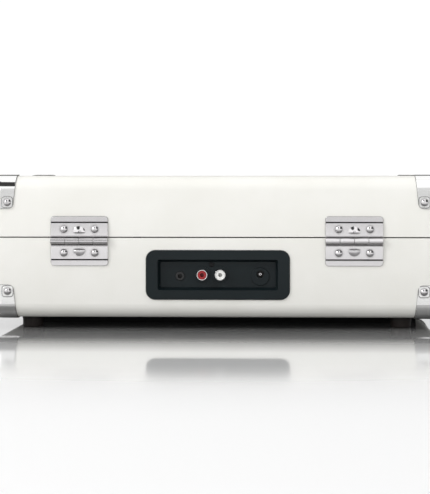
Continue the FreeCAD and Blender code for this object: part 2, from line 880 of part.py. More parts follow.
def power_jack():
    """Socket body behind the panel, and the centre pin and spring contact that stand in its hole."""
    u, v = power_place[0], power_place[1] + power_bore_up
    half = power_body / 2
    low, pin_top = jack_board_out + jack_back_wall, floor_out + power_boss_height - power_pin_drop
    body = box(u - half, u + half, v - half, v + half, jack_board_out, tray_out)
    body = body.cut(post(power_bore_radius, low, tray_out, u, v))
    pin = post(power_pin_radius, low, pin_top, u, v)
    pin = pin.cut(post(power_pin_dimple, pin_top - power_pin_dimple, pin_top, u, v))
    side, under = power_spring_width / 2, v - power_bore_radius + power_spring_gap
    spring = box(u - side, u + side, under, under + power_spring_thickness, low, floor_out)
    return body, group([pin, spring])


def jack_pieces():
    def put(shape):
        return on_back(shape, panel_x, panel_z)
    shells, inserts = [], {}
    for name, place in (("red", red_place), ("white", white_place)):
        shells.append(put(placed(rca_shell(), *place, 0.0, Rotation())))
        bodies["rca_insert_" + name] = put(placed(rca_insert(), *place, 0.0, Rotation()))
    bodies["jack_panel"] = put(jack_panel())
    bodies["rca_shells"] = group(shells)
    bodies["aux_jack"] = put(aux_jack())
    body, contacts = power_jack()
    bodies["power_jack"] = put(body)
    bodies["power_contacts"] = put(contacts)
    half_u, half_v = jack_board_width / 2, jack_board_height / 2
    board_shape = box(-half_u, half_u, -half_v, half_v, jack_board_out - board_thickness, jack_board_out)
    screw_u, screw_v = panel_screw_place
    length = floor_out - jack_board_out + board_thickness
    screw = pan_screw(length, small_head_radius, small_head_height, small_shank_radius)
    screw = placed(screw, screw_u, screw_v, floor_out, Rotation())
    board_shape = board_shape.cut(post(small_shank_radius, floor_out - length, 0.0, screw_u, screw_v))
    add_to("circuit_boards", [put(board_shape)])
    add_to("screws", [put(screw)])
    opening = rounded_block(recess_width / 2 + tray_wall + face_gap, recess_height / 2 + tray_wall + face_gap,
                            recess_corner + tray_wall + face_gap, -2 * wall, 0.0)
    cut_from("base_carcass", [put(opening)])
    cut_from("base_wrap", [put(opening)])


# ---- Speakers, drawn flat: right, up and out of the front
def grille():
    """A perforated plate with a lip that fits the opening in the front wall."""
    half_u, half_v = grille_width / 2, grille_height / 2
    outline = rounded_outline(half_u, half_v, grille_corner)
    holes = []
    row_pitch = grille_pitch * math.sqrt(3) / 2
    rows = int((half_v - grille_margin - grille_hole_radius) / row_pitch)
    for row in range(-rows, rows + 1):
        start = 0.0 if row % 2 == 0 else grille_pitch / 2
        count = int((half_u - grille_margin - grille_hole_radius) / grille_pitch)
        for column in range(-count, count + 1):
            u = column * grille_pitch + start
            if abs(u) + grille_hole_radius + grille_margin < half_u:
                circle = Part.Circle(Vector(u, row * row_pitch, 0), UP, grille_hole_radius)
                holes.append(Part.Wire([circle.toShape()]))
    face = Part.makeFace([outline] + holes, "Part::FaceMakerBullseye")
    plate = face.extrude(Vector(0, 0, grille_plate))
    less = grille_margin / 2
    lip = rounded_block(half_u - less, half_v - less, grille_corner - less, -grille_lip, 0.0)
    inside = less + grille_plate
    lip = lip.cut(rounded_block(half_u - inside, half_v - inside, grille_corner - inside, -grille_lip, 0.0))
    return joined([plate, lip])


def speaker():
    """A small driver behind the wall: flanged basket with a shallow cone, and its magnet."""
    back = -wall
    flange = post(speaker_radius, back - speaker_flange, back)
    cup = Part.makeCone(speaker_magnet_radius, speaker_radius - speaker_web, speaker_cone_depth,
                        Vector(0, 0, back - speaker_flange - speaker_cone_depth))
    magnet_low = back - speaker_flange - speaker_cone_depth - speaker_magnet_depth
    magnet = post(speaker_magnet_radius, magnet_low, magnet_low + speaker_magnet_depth)
    hollow = Part.makeCone(speaker_magnet_radius / 2, speaker_cone_radius, speaker_cone_depth,
                           Vector(0, 0, back - speaker_cone_depth))
    return joined([flange, cup, magnet]).cut(hollow)


def speaker_pieces():
    grilles, drivers, openings = [], [], []
    less = grille_margin / 2 - face_gap
    hole = rounded_block(grille_width / 2 - less, grille_height / 2 - less, grille_corner - less,
                         -2 * wall, 0.0)
    for x in (-speaker_x, speaker_x):
        grilles.append(on_front(grille(), x, speaker_z))
        drivers.append(on_front(speaker(), x, speaker_z))
        openings.append(on_front(hole, x, speaker_z))
    bodies["speaker_grilles"] = group(grilles)
    bodies["speakers"] = group(drivers)
    cut_from("base_carcass", openings)
    cut_from("base_wrap", openings)


# ---- Deck
def deck():
    """The top plate with the well for the record adapter moulded into it."""
    plate = rounded_block(inner_x - deck_gap, inner_y - deck_gap, inner_radius - deck_gap,
                          deck_bottom, deck_top)
    cup = post(well_radius + well_wall, deck_top - well_depth - well_wall, deck_top, well_x, well_y)
    plate = joined([plate, cup])
    return plate.cut(post(well_radius, deck_top - well_depth, deck_top, well_x, well_y))


def slot_box(x, y, travel):
    half = travel + slider_neck / 2 + face_gap
    side = slider_neck / 2 + face_gap
    return box(x - half, x + half, y - side, y + side, deck_bottom, deck_top)


def deck_pieces():
    bush_outer = shaft_radius + running + bush_wall
    row_y = jack_row_inset_y - inner_y
    holes = [
        post(bush_outer, deck_bottom, deck_top, spindle_x, spindle_y),
        post(motor_shaft_radius + bush_wall, deck_bottom, deck_top, motor_x, motor_y),
        post(pivot_shaft_radius + running, deck_bottom, deck_top, pivot_x, pivot_y),
        post(lift_post_radius + running, deck_bottom, deck_top, pivot_x, pivot_y - lift_reach),
        post(headphone_nose_radius, deck_bottom, deck_top, inner_x - headphone_x_inset, row_y),
        post(lamp_radius, deck_bottom, deck_top, inner_x - lamp_x_inset, row_y),
        slot_box(speed_x, speed_y, speed_travel),
        slot_box(autostop_x, autostop_y, autostop_travel),
    ]
    for y in (volume_y, function_y):
        holes.append(post(pot_neck_radius, deck_bottom, deck_top, control_x, y))
    plate = deck().cut(holes)
    screws, screw_holes = [], []
    for x in (deck_screw_inset - inner_x, inner_x - deck_screw_inset):
        for y in (deck_screw_inset - inner_y, inner_y - deck_screw_inset):
            screws.append(placed(pan_screw(deck_thickness + screw_bite), x, y, deck_top, Rotation()))
            screw_holes.append(post(screw_shank_radius, deck_bottom - screw_bite, deck_top, x, y))
    bodies["deck"] = plate.cut(screw_holes)
    cut_from("base_carcass", screw_holes)
    add_to("screws", screws)
    bush = post(bush_outer, deck_top - shaft_depth, deck_top)
    flange = post(bush_flange_radius, deck_top, deck_top + bush_flange)
    bush = joined([bush, flange])
    bush = bush.cut(post(shaft_radius + running, deck_top - shaft_depth + bush_wall, deck_top + bush_flange))
    bodies["bearing_bush"] = placed(bush, spindle_x, spindle_y, 0.0, Rotation())


# ---- Platter, drawn about the spindle
def platter():
    disc = post(platter_radius, platter_under, platter_top)
    disc = disc.makeFillet(platter_rounding, edges_at(disc, platter_top))
    skirt = tube(platter_radius, platter_radius - platter_skirt_wall, skirt_bottom, platter_under)
    rim = tube(belt_rim_radius, belt_rim_radius - belt_rim_wall, pulley_low, platter_under)
    hub = post(hub_radius, skirt_bottom, platter_under)
    return joined([disc, skirt, rim, hub]).cut(post(spindle_seat_radius, skirt_bottom, platter_top))


def spindle():
    pin = post(spindle_radius, mat_top, spindle_top)
    pin = pin.makeFillet(spindle_radius * spindle_tip, edges_at(pin, spindle_top))
    seat = post(spindle_seat_radius, skirt_bottom, mat_top)
    shaft = post(shaft_radius, deck_top - shaft_depth + bush_wall, skirt_bottom)
    return joined([pin, seat, shaft])


def platter_pieces():
    mat = tube(platter_radius - mat_margin, spindle_seat_radius + face_gap, platter_top, mat_top)
    for node, shape in (("platter", platter()), ("platter_mat", mat), ("spindle", spindle())):
        bodies[node] = placed(shape, spindle_x, spindle_y, 0.0, Rotation())


# ---- Belt and motor
def belt_outline(big, small):
    """The outline of a belt round two wheels, the big one at the origin and the small one along X."""
    lean = math.acos((big - small) / motor_distance)
    centre = Vector(motor_distance, 0, 0)
    out = [Vector(math.cos(a), math.sin(a), 0) for a in (lean, math.pi, -lean, 0.0)]
    big_arc = Part.Arc(out[0] * big, out[1] * big, out[2] * big).toShape()
    small_arc = Part.Arc(centre + out[2] * small, centre + out[3] * small, centre + out[0] * small).toShape()
    lower = Part.LineSegment(out[2] * big, centre + out[2] * small).toShape()
    upper = Part.LineSegment(centre + out[0] * small, out[0] * big).toShape()
    return Part.Face(Part.Wire([big_arc, lower, small_arc, upper]))


def belt():
    rise = Vector(0, 0, belt_height)
    outside = belt_gap + belt_thickness
    outer = belt_outline(belt_rim_radius + outside, pulley_radius + outside)
    inner = belt_outline(belt_rim_radius + belt_gap, pulley_radius + belt_gap)
    return placed(outer.extrude(rise).cut(inner.extrude(rise)), spindle_x, spindle_y, belt_low,
                  Rotation(UP, motor_bearing))


def motor_pulley():
    top = pulley_low + pulley_height
    cheek = (pulley_height - belt_height) / 2 - belt_gap
    wheel = [post(pulley_radius, pulley_low, top), post(pulley_flange_radius, pulley_low, pulley_low + cheek),
             post(pulley_flange_radius, top - cheek, top)]
    shaft = post(motor_shaft_radius, deck_bottom - motor_shaft_hold, pulley_low)
    return joined(wheel + [shaft])


def motor_pieces():
    can = post(motor_radius, deck_bottom - motor_height, deck_bottom)
    can = can.makeFillet(motor_rounding, edges_at(can, deck_bottom - motor_height))
    can = can.cut(post(motor_shaft_radius + running, deck_bottom - motor_shaft_hold, deck_bottom))
    bodies["motor"] = placed(can, motor_x, motor_y, 0.0, Rotation())
    bodies["motor_pulley"] = placed(motor_pulley(), motor_x, motor_y, 0.0, Rotation())
    bodies["drive_belt"] = belt()


# ---- Tonearm, drawn about its upright pivot with the arm resting along -Y
yoke_axis_z = tube_z
turntable_low = deck_top + plinth_height + face_gap
turntable_top = turntable_low + turntable_height
head_low = tube_z - head_thickness / 2
cartridge_low = head_low - cartridge_height


def arm_base():
    guide_top = deck_top + lift_guide_height
    plinth = post(plinth_radius, deck_top, deck_top + plinth_height)
    plinth = plinth.makeFillet(arm_rounding, edges_at(plinth, deck_top + plinth_height))
    guide = post(lift_guide_radius, deck_top, guide_top, 0.0, -lift_reach)
    link = box(-lift_link_half_width, lift_link_half_width, -lift_reach, 0.0,
               deck_top, deck_top + plinth_height / 2)
    block = box(0.0, lever_x - pivot_x - lever_width, lever_y_from_pivot - lever_block_half,
                lever_y_from_pivot + lever_block_half, deck_top, lever_z + lever_block_half)
    shape = joined([plinth, guide, link, block])
    return shape.cut([
        post(pivot_shaft_radius + running, deck_top, deck_top + plinth_height),
        post(lift_post_radius + running, deck_top, guide_top, 0.0, -lift_reach),
        rod_x(lever_shaft_radius + running, lever_shaft_inset, lever_x - pivot_x,
              lever_y_from_pivot, lever_z),
    ])


def arm_gimbal():
    shaft = post(pivot_shaft_radius, deck_bottom - pivot_shaft_past, turntable_low)
    table = post(turntable_radius, turntable_low, turntable_top)
    table = table.makeFillet(arm_rounding, edges_at(table, turntable_top))
    shapes = [shaft, table]
    for low in (yoke_half_gap, -yoke_half_gap - yoke_thickness):
        high = low + yoke_thickness
        shapes.append(box(low, high, -yoke_depth, yoke_depth, turntable_top - bury, yoke_axis_z))
        shapes.append(rod_x(yoke_depth, low, high, 0.0, yoke_axis_z))
    reach = yoke_half_gap + yoke_thickness
    return joined(shapes).cut(rod_x(cross_pin_radius + running, -reach, reach, 0.0, yoke_axis_z))


def arm_tube():
    reach = yoke_half_gap + yoke_thickness
    front = arm_length + head_overrun - head_length
    bar = rod_y(tube_radius, -front, tube_tail - weight_length, 0.0, tube_z)
    stub = rod_y(tube_radius / 2, tube_tail - weight_length, tube_tail - stub_inset, 0.0, tube_z)
    hub = rod_x(arm_hub_radius, -hub_half_width, hub_half_width, 0.0, tube_z)
    pin = rod_x(cross_pin_radius, -reach, reach, 0.0, tube_z)
    return joined([bar, stub, hub, pin])


def headshell():
    front = -arm_length - head_overrun
    back = front + head_length
    top = head_low + head_thickness + head_cover
    shell = box(-head_half_width, head_half_width, front, back, head_low, top)
    upright = [e for e in shell.Edges if e.BoundBox.ZLength > head_thickness / 2]
    shell = shell.makeFillet(head_corner, upright)
    shell = shell.makeFillet(head_rounding, edges_at(shell, top))
    tab_front, tab_low = front + finger_from_front, head_low + finger_low
    tab_end = head_half_width + finger_reach
    tab = box(head_half_width - bury, tab_end, tab_front, tab_front + finger_depth,
              tab_low, tab_low + finger_thickness)
    roll = rod_y(finger_roll_radius, tab_front, tab_front + finger_depth, tab_end,
                 tab_low + finger_thickness / 2)
    return joined([shell, tab, roll])


def arm_pieces():
    tip = -arm_length
    cartridge = box(-cartridge_width / 2, cartridge_width / 2, tip - cartridge_ahead,
                    tip - cartridge_ahead + cartridge_length, cartridge_low, head_low)
    block = box(-stylus_width / 2, stylus_width / 2, tip - stylus_ahead, tip - stylus_ahead + stylus_length,
                cartridge_low - stylus_block, cartridge_low)
    point = Part.makeCone(needle_tip_radius, needle_radius, cartridge_low - stylus_block - stylus_tip + bury,
                          Vector(0, tip, stylus_tip))
    weight = rod_y(weight_radius, tube_tail - weight_length, tube_tail, 0.0, tube_z)
    rims = [e for e in weight.Edges if e.BoundBox.YLength < tolerance]
    weight = weight.makeFillet(arm_rounding, rims)
    stub = rod_y(tube_radius / 2, tube_tail - weight_length, tube_tail - stub_inset, 0.0, tube_z)
    for node, shape in (
        ("arm_base", arm_base()), ("arm_gimbal", arm_gimbal()), ("arm_tube", arm_tube()),
        ("headshell", headshell()), ("cartridge", cartridge), ("stylus", joined([block, point])),
        ("counterweight", weight.cut(stub)),
    ):
        bodies[node] = placed(shape, pivot_x, pivot_y, 0.0, Rotation())


def rest_pieces():
    """The cradle beside the tube, open on the platter side, and the clip that swings over it."""
    x, high = pivot_x, tube_z + tube_radius
    y_low, y_high = rest_y - rest_half_depth, rest_y + rest_half_depth
    saddle_top = tube_z - tube_radius - face_gap
    wall_low = x + tube_radius + face_gap
    wall_high = clip_x - clip_barrel_radius - face_gap
    column = box(x - rest_half_width, wall_high, y_low, y_high, deck_top, saddle_top)
    side = box(wall_low, wall_high, y_low, y_high, saddle_top - bury, high)
    margin = rest_foot_margin
    foot_plate = box(x - rest_half_width - margin, wall_high + margin, y_low - margin, y_high + margin,
                     deck_top, deck_top + rest_foot_height)
    ears = []
    ear = rest_half_depth / 3
    for low in (y_low, y_high - ear):
        ears.append(box(wall_high - bury, clip_x, low, low + ear, clip_z - 2 * clip_barrel_radius, clip_z))
        ears.append(rod_y(clip_barrel_radius, low, low + ear, clip_x, clip_z))
    pin = rod_y(clip_pin_radius, y_low, y_high, clip_x, clip_z)
    bodies["arm_rest"] = joined([column, side, foot_plate] + ears + [pin])
    barrel_low, barrel_high = y_low + ear + face_gap, y_high - ear - face_gap
    top = tube_z + tube_radius + face_gap - clip_z
    reach = clip_x - (pivot_x - tube_radius - face_gap)
    arm = box(0.0, reach + clip_thickness, barrel_low, barrel_high, -top - clip_thickness, -top)
    root = box(-clip_root, clip_barrel_radius, barrel_low, barrel_high, -top - clip_thickness, 0.0)
    hook = box(reach, reach + clip_thickness, barrel_low, barrel_high, -top - clip_thickness,
               clip_hook - top - clip_thickness)
    clip = joined([arm, root, hook, rod_y(clip_barrel_radius, barrel_low, barrel_high, 0.0, 0.0)])
    clip = clip.cut(rod_y(clip_pin_radius + running, barrel_low, barrel_high, 0.0, 0.0))
    bodies["arm_clip"] = placed(clip, clip_x, 0.0, clip_z, Rotation())


def cue_pieces():
    """The lift bar, an arc under the tube at every swing, and the lever that works it."""
    bar_top = tube_z - tube_radius - face_gap
    bar_low = bar_top - lift_bar_thickness
    ring = tube(lift_reach + lift_bar_half_width, lift_reach - lift_bar_half_width, bar_low, bar_top)
    reach = 2 * lift_reach
    start, end = (math.radians(270 - a) for a in lift_arc)
    wedge = polygon_block([(0, 0, bar_low), (reach * math.cos(start), reach * math.sin(start), bar_low),
                           (reach * math.cos(end), reach * math.sin(end), bar_low)],
                          Vector(0, 0, lift_bar_thickness))
    stem = post(lift_post_radius, deck_bottom - lift_post_depth / 2, bar_low + bury, 0.0, -lift_reach)
    bodies["cue_lift"] = placed(joined([ring.common(wedge), stem]), pivot_x, pivot_y, 0.0, Rotation())
    shaft = rod_x(lever_shaft_radius, pivot_x + lever_shaft_inset, lever_x, lever_y, lever_z)
    half = lever_thickness / 2
    arm = box(lever_x, lever_x + lever_width, lever_y - lever_length, lever_y, lever_z - half, lever_z + half)
    boss = rod_x(lever_boss_radius, lever_x, lever_x + lever_width, lever_y, lever_z)
    tip = rod_x(lever_width / 2, lever_x, lever_x + lever_width, lever_y - lever_length, lever_z)
    bodies["cue_lever"] = joined([shaft, arm, boss, tip])


# ---- Controls
def knob():
    """A turned knob with a marker groove, its shaft below, standing on the z = 0 plane."""
    body = post(knob_radius, knob_lift, knob_lift + knob_height)
    body = body.makeFillet(knob_rounding, edges_at(body, knob_lift + knob_height))
    top = knob_lift + knob_height
    marker = box(-marker_width / 2, marker_width / 2, knob_radius * marker_start, knob_radius,
                 top - marker_depth, top)
    shaft = post(knob_shaft_radius, -deck_thickness - pot_height / 2, knob_lift)
    return joined([body.cut(marker), shaft])


def pot():
    case = box(-pot_size / 2, pot_size / 2, -pot_size / 2, pot_size / 2, -deck_thickness - pot_height,
               -deck_thickness)
    neck = post(pot_neck_radius, -deck_thickness, 0.0)
    bore_end = -deck_thickness - pot_height / 2 - knob_shaft_gap
    return joined([case, neck]).cut(post(knob_shaft_radius + running, bore_end, 0.0))


def slider():
    """A small cap over the deck with a flat tongue through its slot."""
    low = face_gap
    side, top = slider_width / 2, low + slider_height
    cap = box(-side, side, -side, side, low, top)
    cap = cap.makeFillet(slider_rounding, edges_at(cap, top))
    half = slider_neck / 2
    return joined([cap, box(-half, half, -half, half, -deck_thickness - slider_tail, low)])


def slide_switch(travel):
    """The switch under the deck, open along the top for its tongue."""
    half_u, half_v = switch_body[0] / 2, switch_body[1] / 2
    case = box(-half_u, half_u, -half_v, half_v, -deck_thickness - switch_body[2], -deck_thickness)
    half = travel + slider_neck / 2 + face_gap
    side = slider_neck / 2 + face_gap
    return case.cut(box(-half, half, -side, side, -deck_thickness - slider_tail - face_gap, -deck_thickness))


def control_pieces():
    def put(shape, x, y):
        return placed(shape, x, y, deck_top, Rotation())
    bodies["volume_knob"] = put(knob(), control_x, volume_y)
    bodies["function_knob"] = put(knob(), control_x, function_y)
    bodies["speed_lever"] = put(slider(), speed_x, speed_y)
    bodies["autostop_slider"] = put(slider(), autostop_x, autostop_y)
    bodies["control_switches"] = group([
        put(pot(), control_x, volume_y), put(pot(), control_x, function_y),
        put(slide_switch(speed_travel), speed_x, speed_y),
        put(slide_switch(autostop_travel), autostop_x, autostop_y),
    ])
    row_y = jack_row_inset_y - inner_y
    rise = headphone_flange_height
    nose = post(headphone_nose_radius, -deck_thickness - headphone_body, rise)
    nose = joined([nose, post(headphone_nose_radius + headphone_flange, 0.0, rise)])
    nose = nose.cut(post(headphone_bore_radius, -headphone_body, rise))
    bodies["headphone_jack"] = put(nose, inner_x - headphone_x_inset, row_y)
    lamp = joined([post(lamp_radius, -deck_thickness - lamp_body, 0.0), Part.makeSphere(lamp_radius)])
    bodies["power_lamp"] = put(lamp, inner_x - lamp_x_inset, row_y)
    low = deck_top - well_depth
    adapter = tube(adapter_radius, adapter_bore_radius, low, low + adapter_height)
    adapter = adapter.makeFillet(adapter_rounding, [e for e in edges_at(adapter, low + adapter_height)
                                                  if e.BoundBox.XLength > adapter_radius])
    bodies["record_adapter"] = placed(adapter, well_x, well_y, 0.0, Rotation())


# ---- Handle
def handle_pieces():
    y, z = -handle_y, handle_pivot_z
    low = z - handle_arm
    half, neck = handle_half_thickness, handle_neck_radius
    bar = rod_x(half, -handle_half_width, handle_half_width, y, low)
    bodies["handle_grip"] = bar
    ends, brackets = [], []
    bracket_low = handle_half_width + handle_end + face_gap
    for side in (-1, 1):
        end = joined([
            rod_x(half, handle_half_width, handle_half_width + handle_end, y, low),
            rod_x(neck, handle_half_width, handle_half_width + handle_end, y, z),
            box(handle_half_width, handle_half_width + handle_end, y - neck, y + neck, low, z),
        ]).cut(rod_x(handle_pin_radius + running, handle_half_width, handle_half_width + handle_end, y, z))
        lug = joined([
            box(bracket_low, bracket_low + bracket_thickness, y, -half_y, z - neck, z + neck),
            rod_x(neck, bracket_low, bracket_low + bracket_thickness, y, z),
            box(bracket_low, bracket_low + bracket_width, -half_y - bracket_plate, -half_y,
                z - bracket_height / 2, z + bracket_height / 2),
            rod_x(handle_pin_radius, handle_half_width + handle_pin_inset,
                  bracket_low + bracket_thickness, y, z),
        ])
        ends.append(end if side > 0 else mirrored_x(end))
        brackets.append(lug if side > 0 else mirrored_x(lug))
    bodies["handle_ends"] = group(ends)
    bodies["handle_brackets"] = group(brackets)


# ---- Latches, drawn about the middle of one latch
def latch_base():
    half = latch_width / 2
    top = base_rim - latch_plate_drop
    plate = box(-half, half, -half_y - latch_plate, -half_y, top - latch_plate_height, top)
    shapes = [plate]
    for low in (half - latch_ear, -half):
        shapes.append(box(low, low + latch_ear, latch_pivot_y, -half_y, latch_pivot_z - latch_barrel_radius,
                          latch_pivot_z + latch_barrel_radius))
        shapes.append(rod_x(latch_barrel_radius, low, low + latch_ear, latch_pivot_y, latch_pivot_z))
    return joined(shapes).cut(rod_x(latch_pin_radius, -half, half, latch_pivot_y, latch_pivot_z))


def latch_lever():
    half = latch_width / 2 - latch_ear - face_gap
    front = latch_pivot_y - latch_barrel_radius
    back = front + latch_lever_plate
    hook_low = latch_lip_z + latch_lip_thickness + face_gap
    hook_top = hook_low + latch_hook
    hook_back = -half_y - latch_plate - face_gap
    lever = joined([
        rod_x(latch_barrel_radius, -half, half, latch_pivot_y, latch_pivot_z),
        box(-half, half, front, back, latch_pivot_z, hook_top),
        box(-half, half, front, hook_back, hook_low, hook_top),
        box(-half / 2, half / 2, front - latch_tab_out, back, hook_top - bury, hook_top + latch_tab_height),
    ])
    return lever.cut(rod_x(latch_pin_radius + running, -half, half, latch_pivot_y, latch_pivot_z))


def latch_catch():
    half = latch_width / 2 - latch_ear
    face = -half_y - latch_plate
    lip_top = latch_lip_z + latch_lip_thickness
    plate = box(-half, half, face, -half_y, lid_rim + catch_above_rim, lip_top + catch_above_lip)
    lip = box(-half, half, face - latch_lip_reach, face, latch_lip_z, lip_top)
    return joined([plate, lip])


def latch_pieces():
    half = latch_width / 2
    pin = rod_x(latch_pin_radius, -half, half, latch_pivot_y, latch_pivot_z)
    bases, catches, pins = [], [], []
    for side, x in (("right", -latch_x), ("left", latch_x)):
        bases.append(placed(latch_base(), x, 0, 0, Rotation()))
        catches.append(placed(latch_catch(), x, 0, 0, Rotation()))
        pins.append(placed(pin, x, 0, 0, Rotation()))
        bodies["latch_lever_" + side] = placed(latch_lever(), x, 0, 0, Rotation())
    bodies["latch_plates"] = group(bases)
    bodies["latch_catches"] = group(catches)
    add_to("hinge_and_latch_pins", pins)


# ---- Amplifier board and internal leads
def main_board():
    """The amplifier board on its pillars, with the larger parts that stand on it."""
    half_u, half_v = main_board_size[0] / 2, main_board_size[1] / 2
    low = base_floor + standoff_height
    top = low + board_thickness
    shapes = [box(-half_u, half_u, -half_v, half_v, low, top)]
    for u in (standoff_radius * 2 - half_u, half_u - standoff_radius * 2):
        for v in (standoff_radius * 2 - half_v, half_v - standoff_radius * 2):
            shapes.append(post(standoff_radius, base_floor, low, u, v))
    sink_u, sink_v = heat_sink_middle
    sink_width, sink_depth, sink_height = heat_sink
    shapes.append(box(sink_u - sink_width / 2, sink_u + sink_width / 2, sink_v - sink_depth / 2,
                      sink_v + sink_depth / 2, top - bury, top + sink_height))
    for place in capacitor_places:
        shapes.append(post(capacitor_radius, top - bury, top + capacitor_height, *place))
    return placed(joined(shapes), *main_board_middle, 0.0, Rotation())


def rounded_path(points):
    """Straight runs through the points, joined by tangent arcs."""
    edges = []
    here = points[0]
    for before, corner, after in zip(points, points[1:], points[2:]):
        into = (corner - before).normalize()
        out = (after - corner).normalize()
        turn = math.acos(max(-1.0, min(1.0, into.dot(out))))
        back_off = lead_bend * min((corner - before).Length, (after - corner).Length)
        radius = back_off / math.tan(turn / 2)
        start, end = corner - into * back_off, corner + out * back_off
        towards = (out - into).normalize()
        middle = corner + towards * (radius / math.cos(turn / 2) - radius)
        edges.append(Part.LineSegment(here, start).toShape())
        edges.append(Part.Arc(start, middle, end).toShape())
        here = end
    edges.append(Part.LineSegment(here, points[-1]).toShape())
    return Part.Wire(edges)


def lead(name, start, end):
    near, far = lead_bends[name]
    first = [start + Vector(*bend) for bend in near]
    last = [end + Vector(*bend) for bend in far]
    points = [start] + first + last + [end]
    section = Part.Wire([Part.Circle(start, points[1] - start, lead_radius).toShape()])
    return rounded_path(points).makePipeShell([section], True, False)


def lead_pieces():
    """Leads from the amplifier board to the jacks, speakers, motor and function switch."""
    board_x, board_y = main_board_middle
    reach_u, reach_v = main_board_size[0] / 2 + lead_gap, main_board_size[1] / 2 + lead_gap
    start_z = base_floor + standoff_height + board_thickness + lead_gap
    jack_y = half_y + jack_board_out - board_thickness - lead_radius
    cone_y = speaker_cone_depth + speaker_magnet_depth + wall + speaker_flange + lead_radius - half_y
    cone_z = speaker_z - lead_end
    leads = [lead("jacks", Vector(board_x, board_y + reach_v, start_z),
                  Vector(-lead_end, jack_y, panel_z - lead_end))]
    for name, side, end in (
        ("right speaker", 1, Vector(speaker_x, cone_y, cone_z)),
        ("left speaker", -1, Vector(lead_end - speaker_x, cone_y, cone_z)),
        ("motor", -1, Vector(motor_x, motor_y, deck_bottom - motor_height - lead_radius)),
        ("switch", 1, Vector(control_x, function_y, deck_bottom - pot_height - lead_radius)),
    ):
        leads.append(lead(name, Vector(board_x + side * reach_u, board_y + lead_board_y[name], start_z), end))
    bodies["leads"] = group(leads)


def write_parts():
    os.makedirs("parts", exist_ok=True)
    add_to("circuit_boards", [main_board()])
    for node, shape in bodies.items():
        moved = shape.copy()
        moved.translate(Vector(0, case_shift, 0))
        moved.exportStep("parts/" + node + ".step")


case_pieces()
foot_pieces()
hinge_pieces()
jack_pieces()
speaker_pieces()
deck_pieces()
platter_pieces()
motor_pieces()
arm_pieces()
rest_pieces()
cue_pieces()
control_pieces()
handle_pieces()
latch_pieces()
lead_pieces()
write_parts()
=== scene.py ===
# %% [markdown]
# # A cream suitcase record player
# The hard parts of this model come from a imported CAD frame: every solid is already at its real size and place.
# This notebook gives each one its finish, and remakes the pieces whose looks need more than CAD gives them: the
# stitched grip, the fluted knobs with their aluminium caps and the printing on the deck. All lengths are metres in
# the frame's axes: +Z up, +Y towards the hinges and sockets, -Y towards the handle.

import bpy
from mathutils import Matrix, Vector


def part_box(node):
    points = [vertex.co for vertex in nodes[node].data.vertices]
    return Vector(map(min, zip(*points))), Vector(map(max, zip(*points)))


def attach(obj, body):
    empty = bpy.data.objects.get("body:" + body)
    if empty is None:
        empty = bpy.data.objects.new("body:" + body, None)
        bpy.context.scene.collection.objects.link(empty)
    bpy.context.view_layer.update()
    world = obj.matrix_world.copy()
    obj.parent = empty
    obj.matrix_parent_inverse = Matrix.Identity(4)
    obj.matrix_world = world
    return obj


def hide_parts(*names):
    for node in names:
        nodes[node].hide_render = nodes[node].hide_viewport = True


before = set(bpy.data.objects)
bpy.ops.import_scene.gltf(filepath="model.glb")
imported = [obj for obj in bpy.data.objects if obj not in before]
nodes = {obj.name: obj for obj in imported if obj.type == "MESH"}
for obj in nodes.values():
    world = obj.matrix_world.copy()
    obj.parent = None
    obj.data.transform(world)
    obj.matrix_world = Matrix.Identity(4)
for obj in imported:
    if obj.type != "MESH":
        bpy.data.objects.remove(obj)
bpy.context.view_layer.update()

# %% Tools
import math

import bmesh
import bpy
from mathutils import Matrix, Vector

MM = 0.001
scene = bpy.context.scene

# %% [markdown]
# ## Camera, floor and light
# The case is seen from its hinge side, almost square on. The eye is level with the lid's top, a metre and a half away
# and a little to one side, and a long lens keeps the case's long edges nearly parallel.

# %% Camera
base_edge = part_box("base_wrap")[1]
view_distance = 1.5
view_width = 344 * MM          # of the plane that holds the case's hinge side
eye_aside = 60 * MM
eye_height = 122 * MM
view_middle = Vector((0, base_edge.y, 66 * MM))
eye = Vector((-eye_aside, base_edge.y + view_distance, eye_height))

camera_data = bpy.data.cameras.new("camera")
camera_data.sensor_fit = "HORIZONTAL"
camera_data.sensor_width = 36.0
camera_data.lens = camera_data.sensor_width * (eye - view_middle).length / view_width
camera = bpy.data.objects.new("camera", camera_data)
camera.location = eye
camera.rotation_euler = (view_middle - eye).to_track_quat("-Z", "Y").to_euler()
scene.collection.objects.link(camera)
scene.camera = camera
scene.view_settings.view_transform = "Standard"
print("lens", round(camera_data.lens), "mm, distance", round((eye - view_middle).length, 3), "m")

# %% [markdown]
# A few helpers keep the material cells short. `colour` turns an sRGB hex value into the linear numbers that a shader
# works in. `add` puts one node in a tree, sets its fields, numbers and ramp stops, and links its inputs. `join` links
# sockets to a node that is already there.

# %% Material helpers
def colour(hex_value):
    """Linear RGBA from an sRGB hex string."""
    channels = [int(hex_value[i:i + 2], 16) / 255 for i in (0, 2, 4)]
    linear = [c / 12.92 if c <= 0.04045 else ((c + 0.055) / 1.055) ** 2.4 for c in channels]
    return (*linear, 1.0)


def join(tree, node, links):
    """Links each socket in a dictionary to the input of that name."""
    for name, socket in links.items():
        tree.links.new(socket, node.inputs[name])


def add(tree, kind, links=None, values=None, stops=(), **fields):
    """One node: fields are its settings, values its numbers, links its sockets, stops a ramp's places and hexes."""
    made = tree.nodes.new("ShaderNode" + kind)
    for name, value in fields.items():
        setattr(made, name, value)
    for name, value in (values or {}).items():
        made.inputs[name].default_value = value
    join(tree, made, links or {})
    while stops and len(made.color_ramp.elements) < len(stops):
        made.color_ramp.elements.new(0.5)
    for index, (place, hex_value) in enumerate(stops):
        made.color_ramp.elements[index].position = place
        made.color_ramp.elements[index].color = colour(hex_value)
    return made


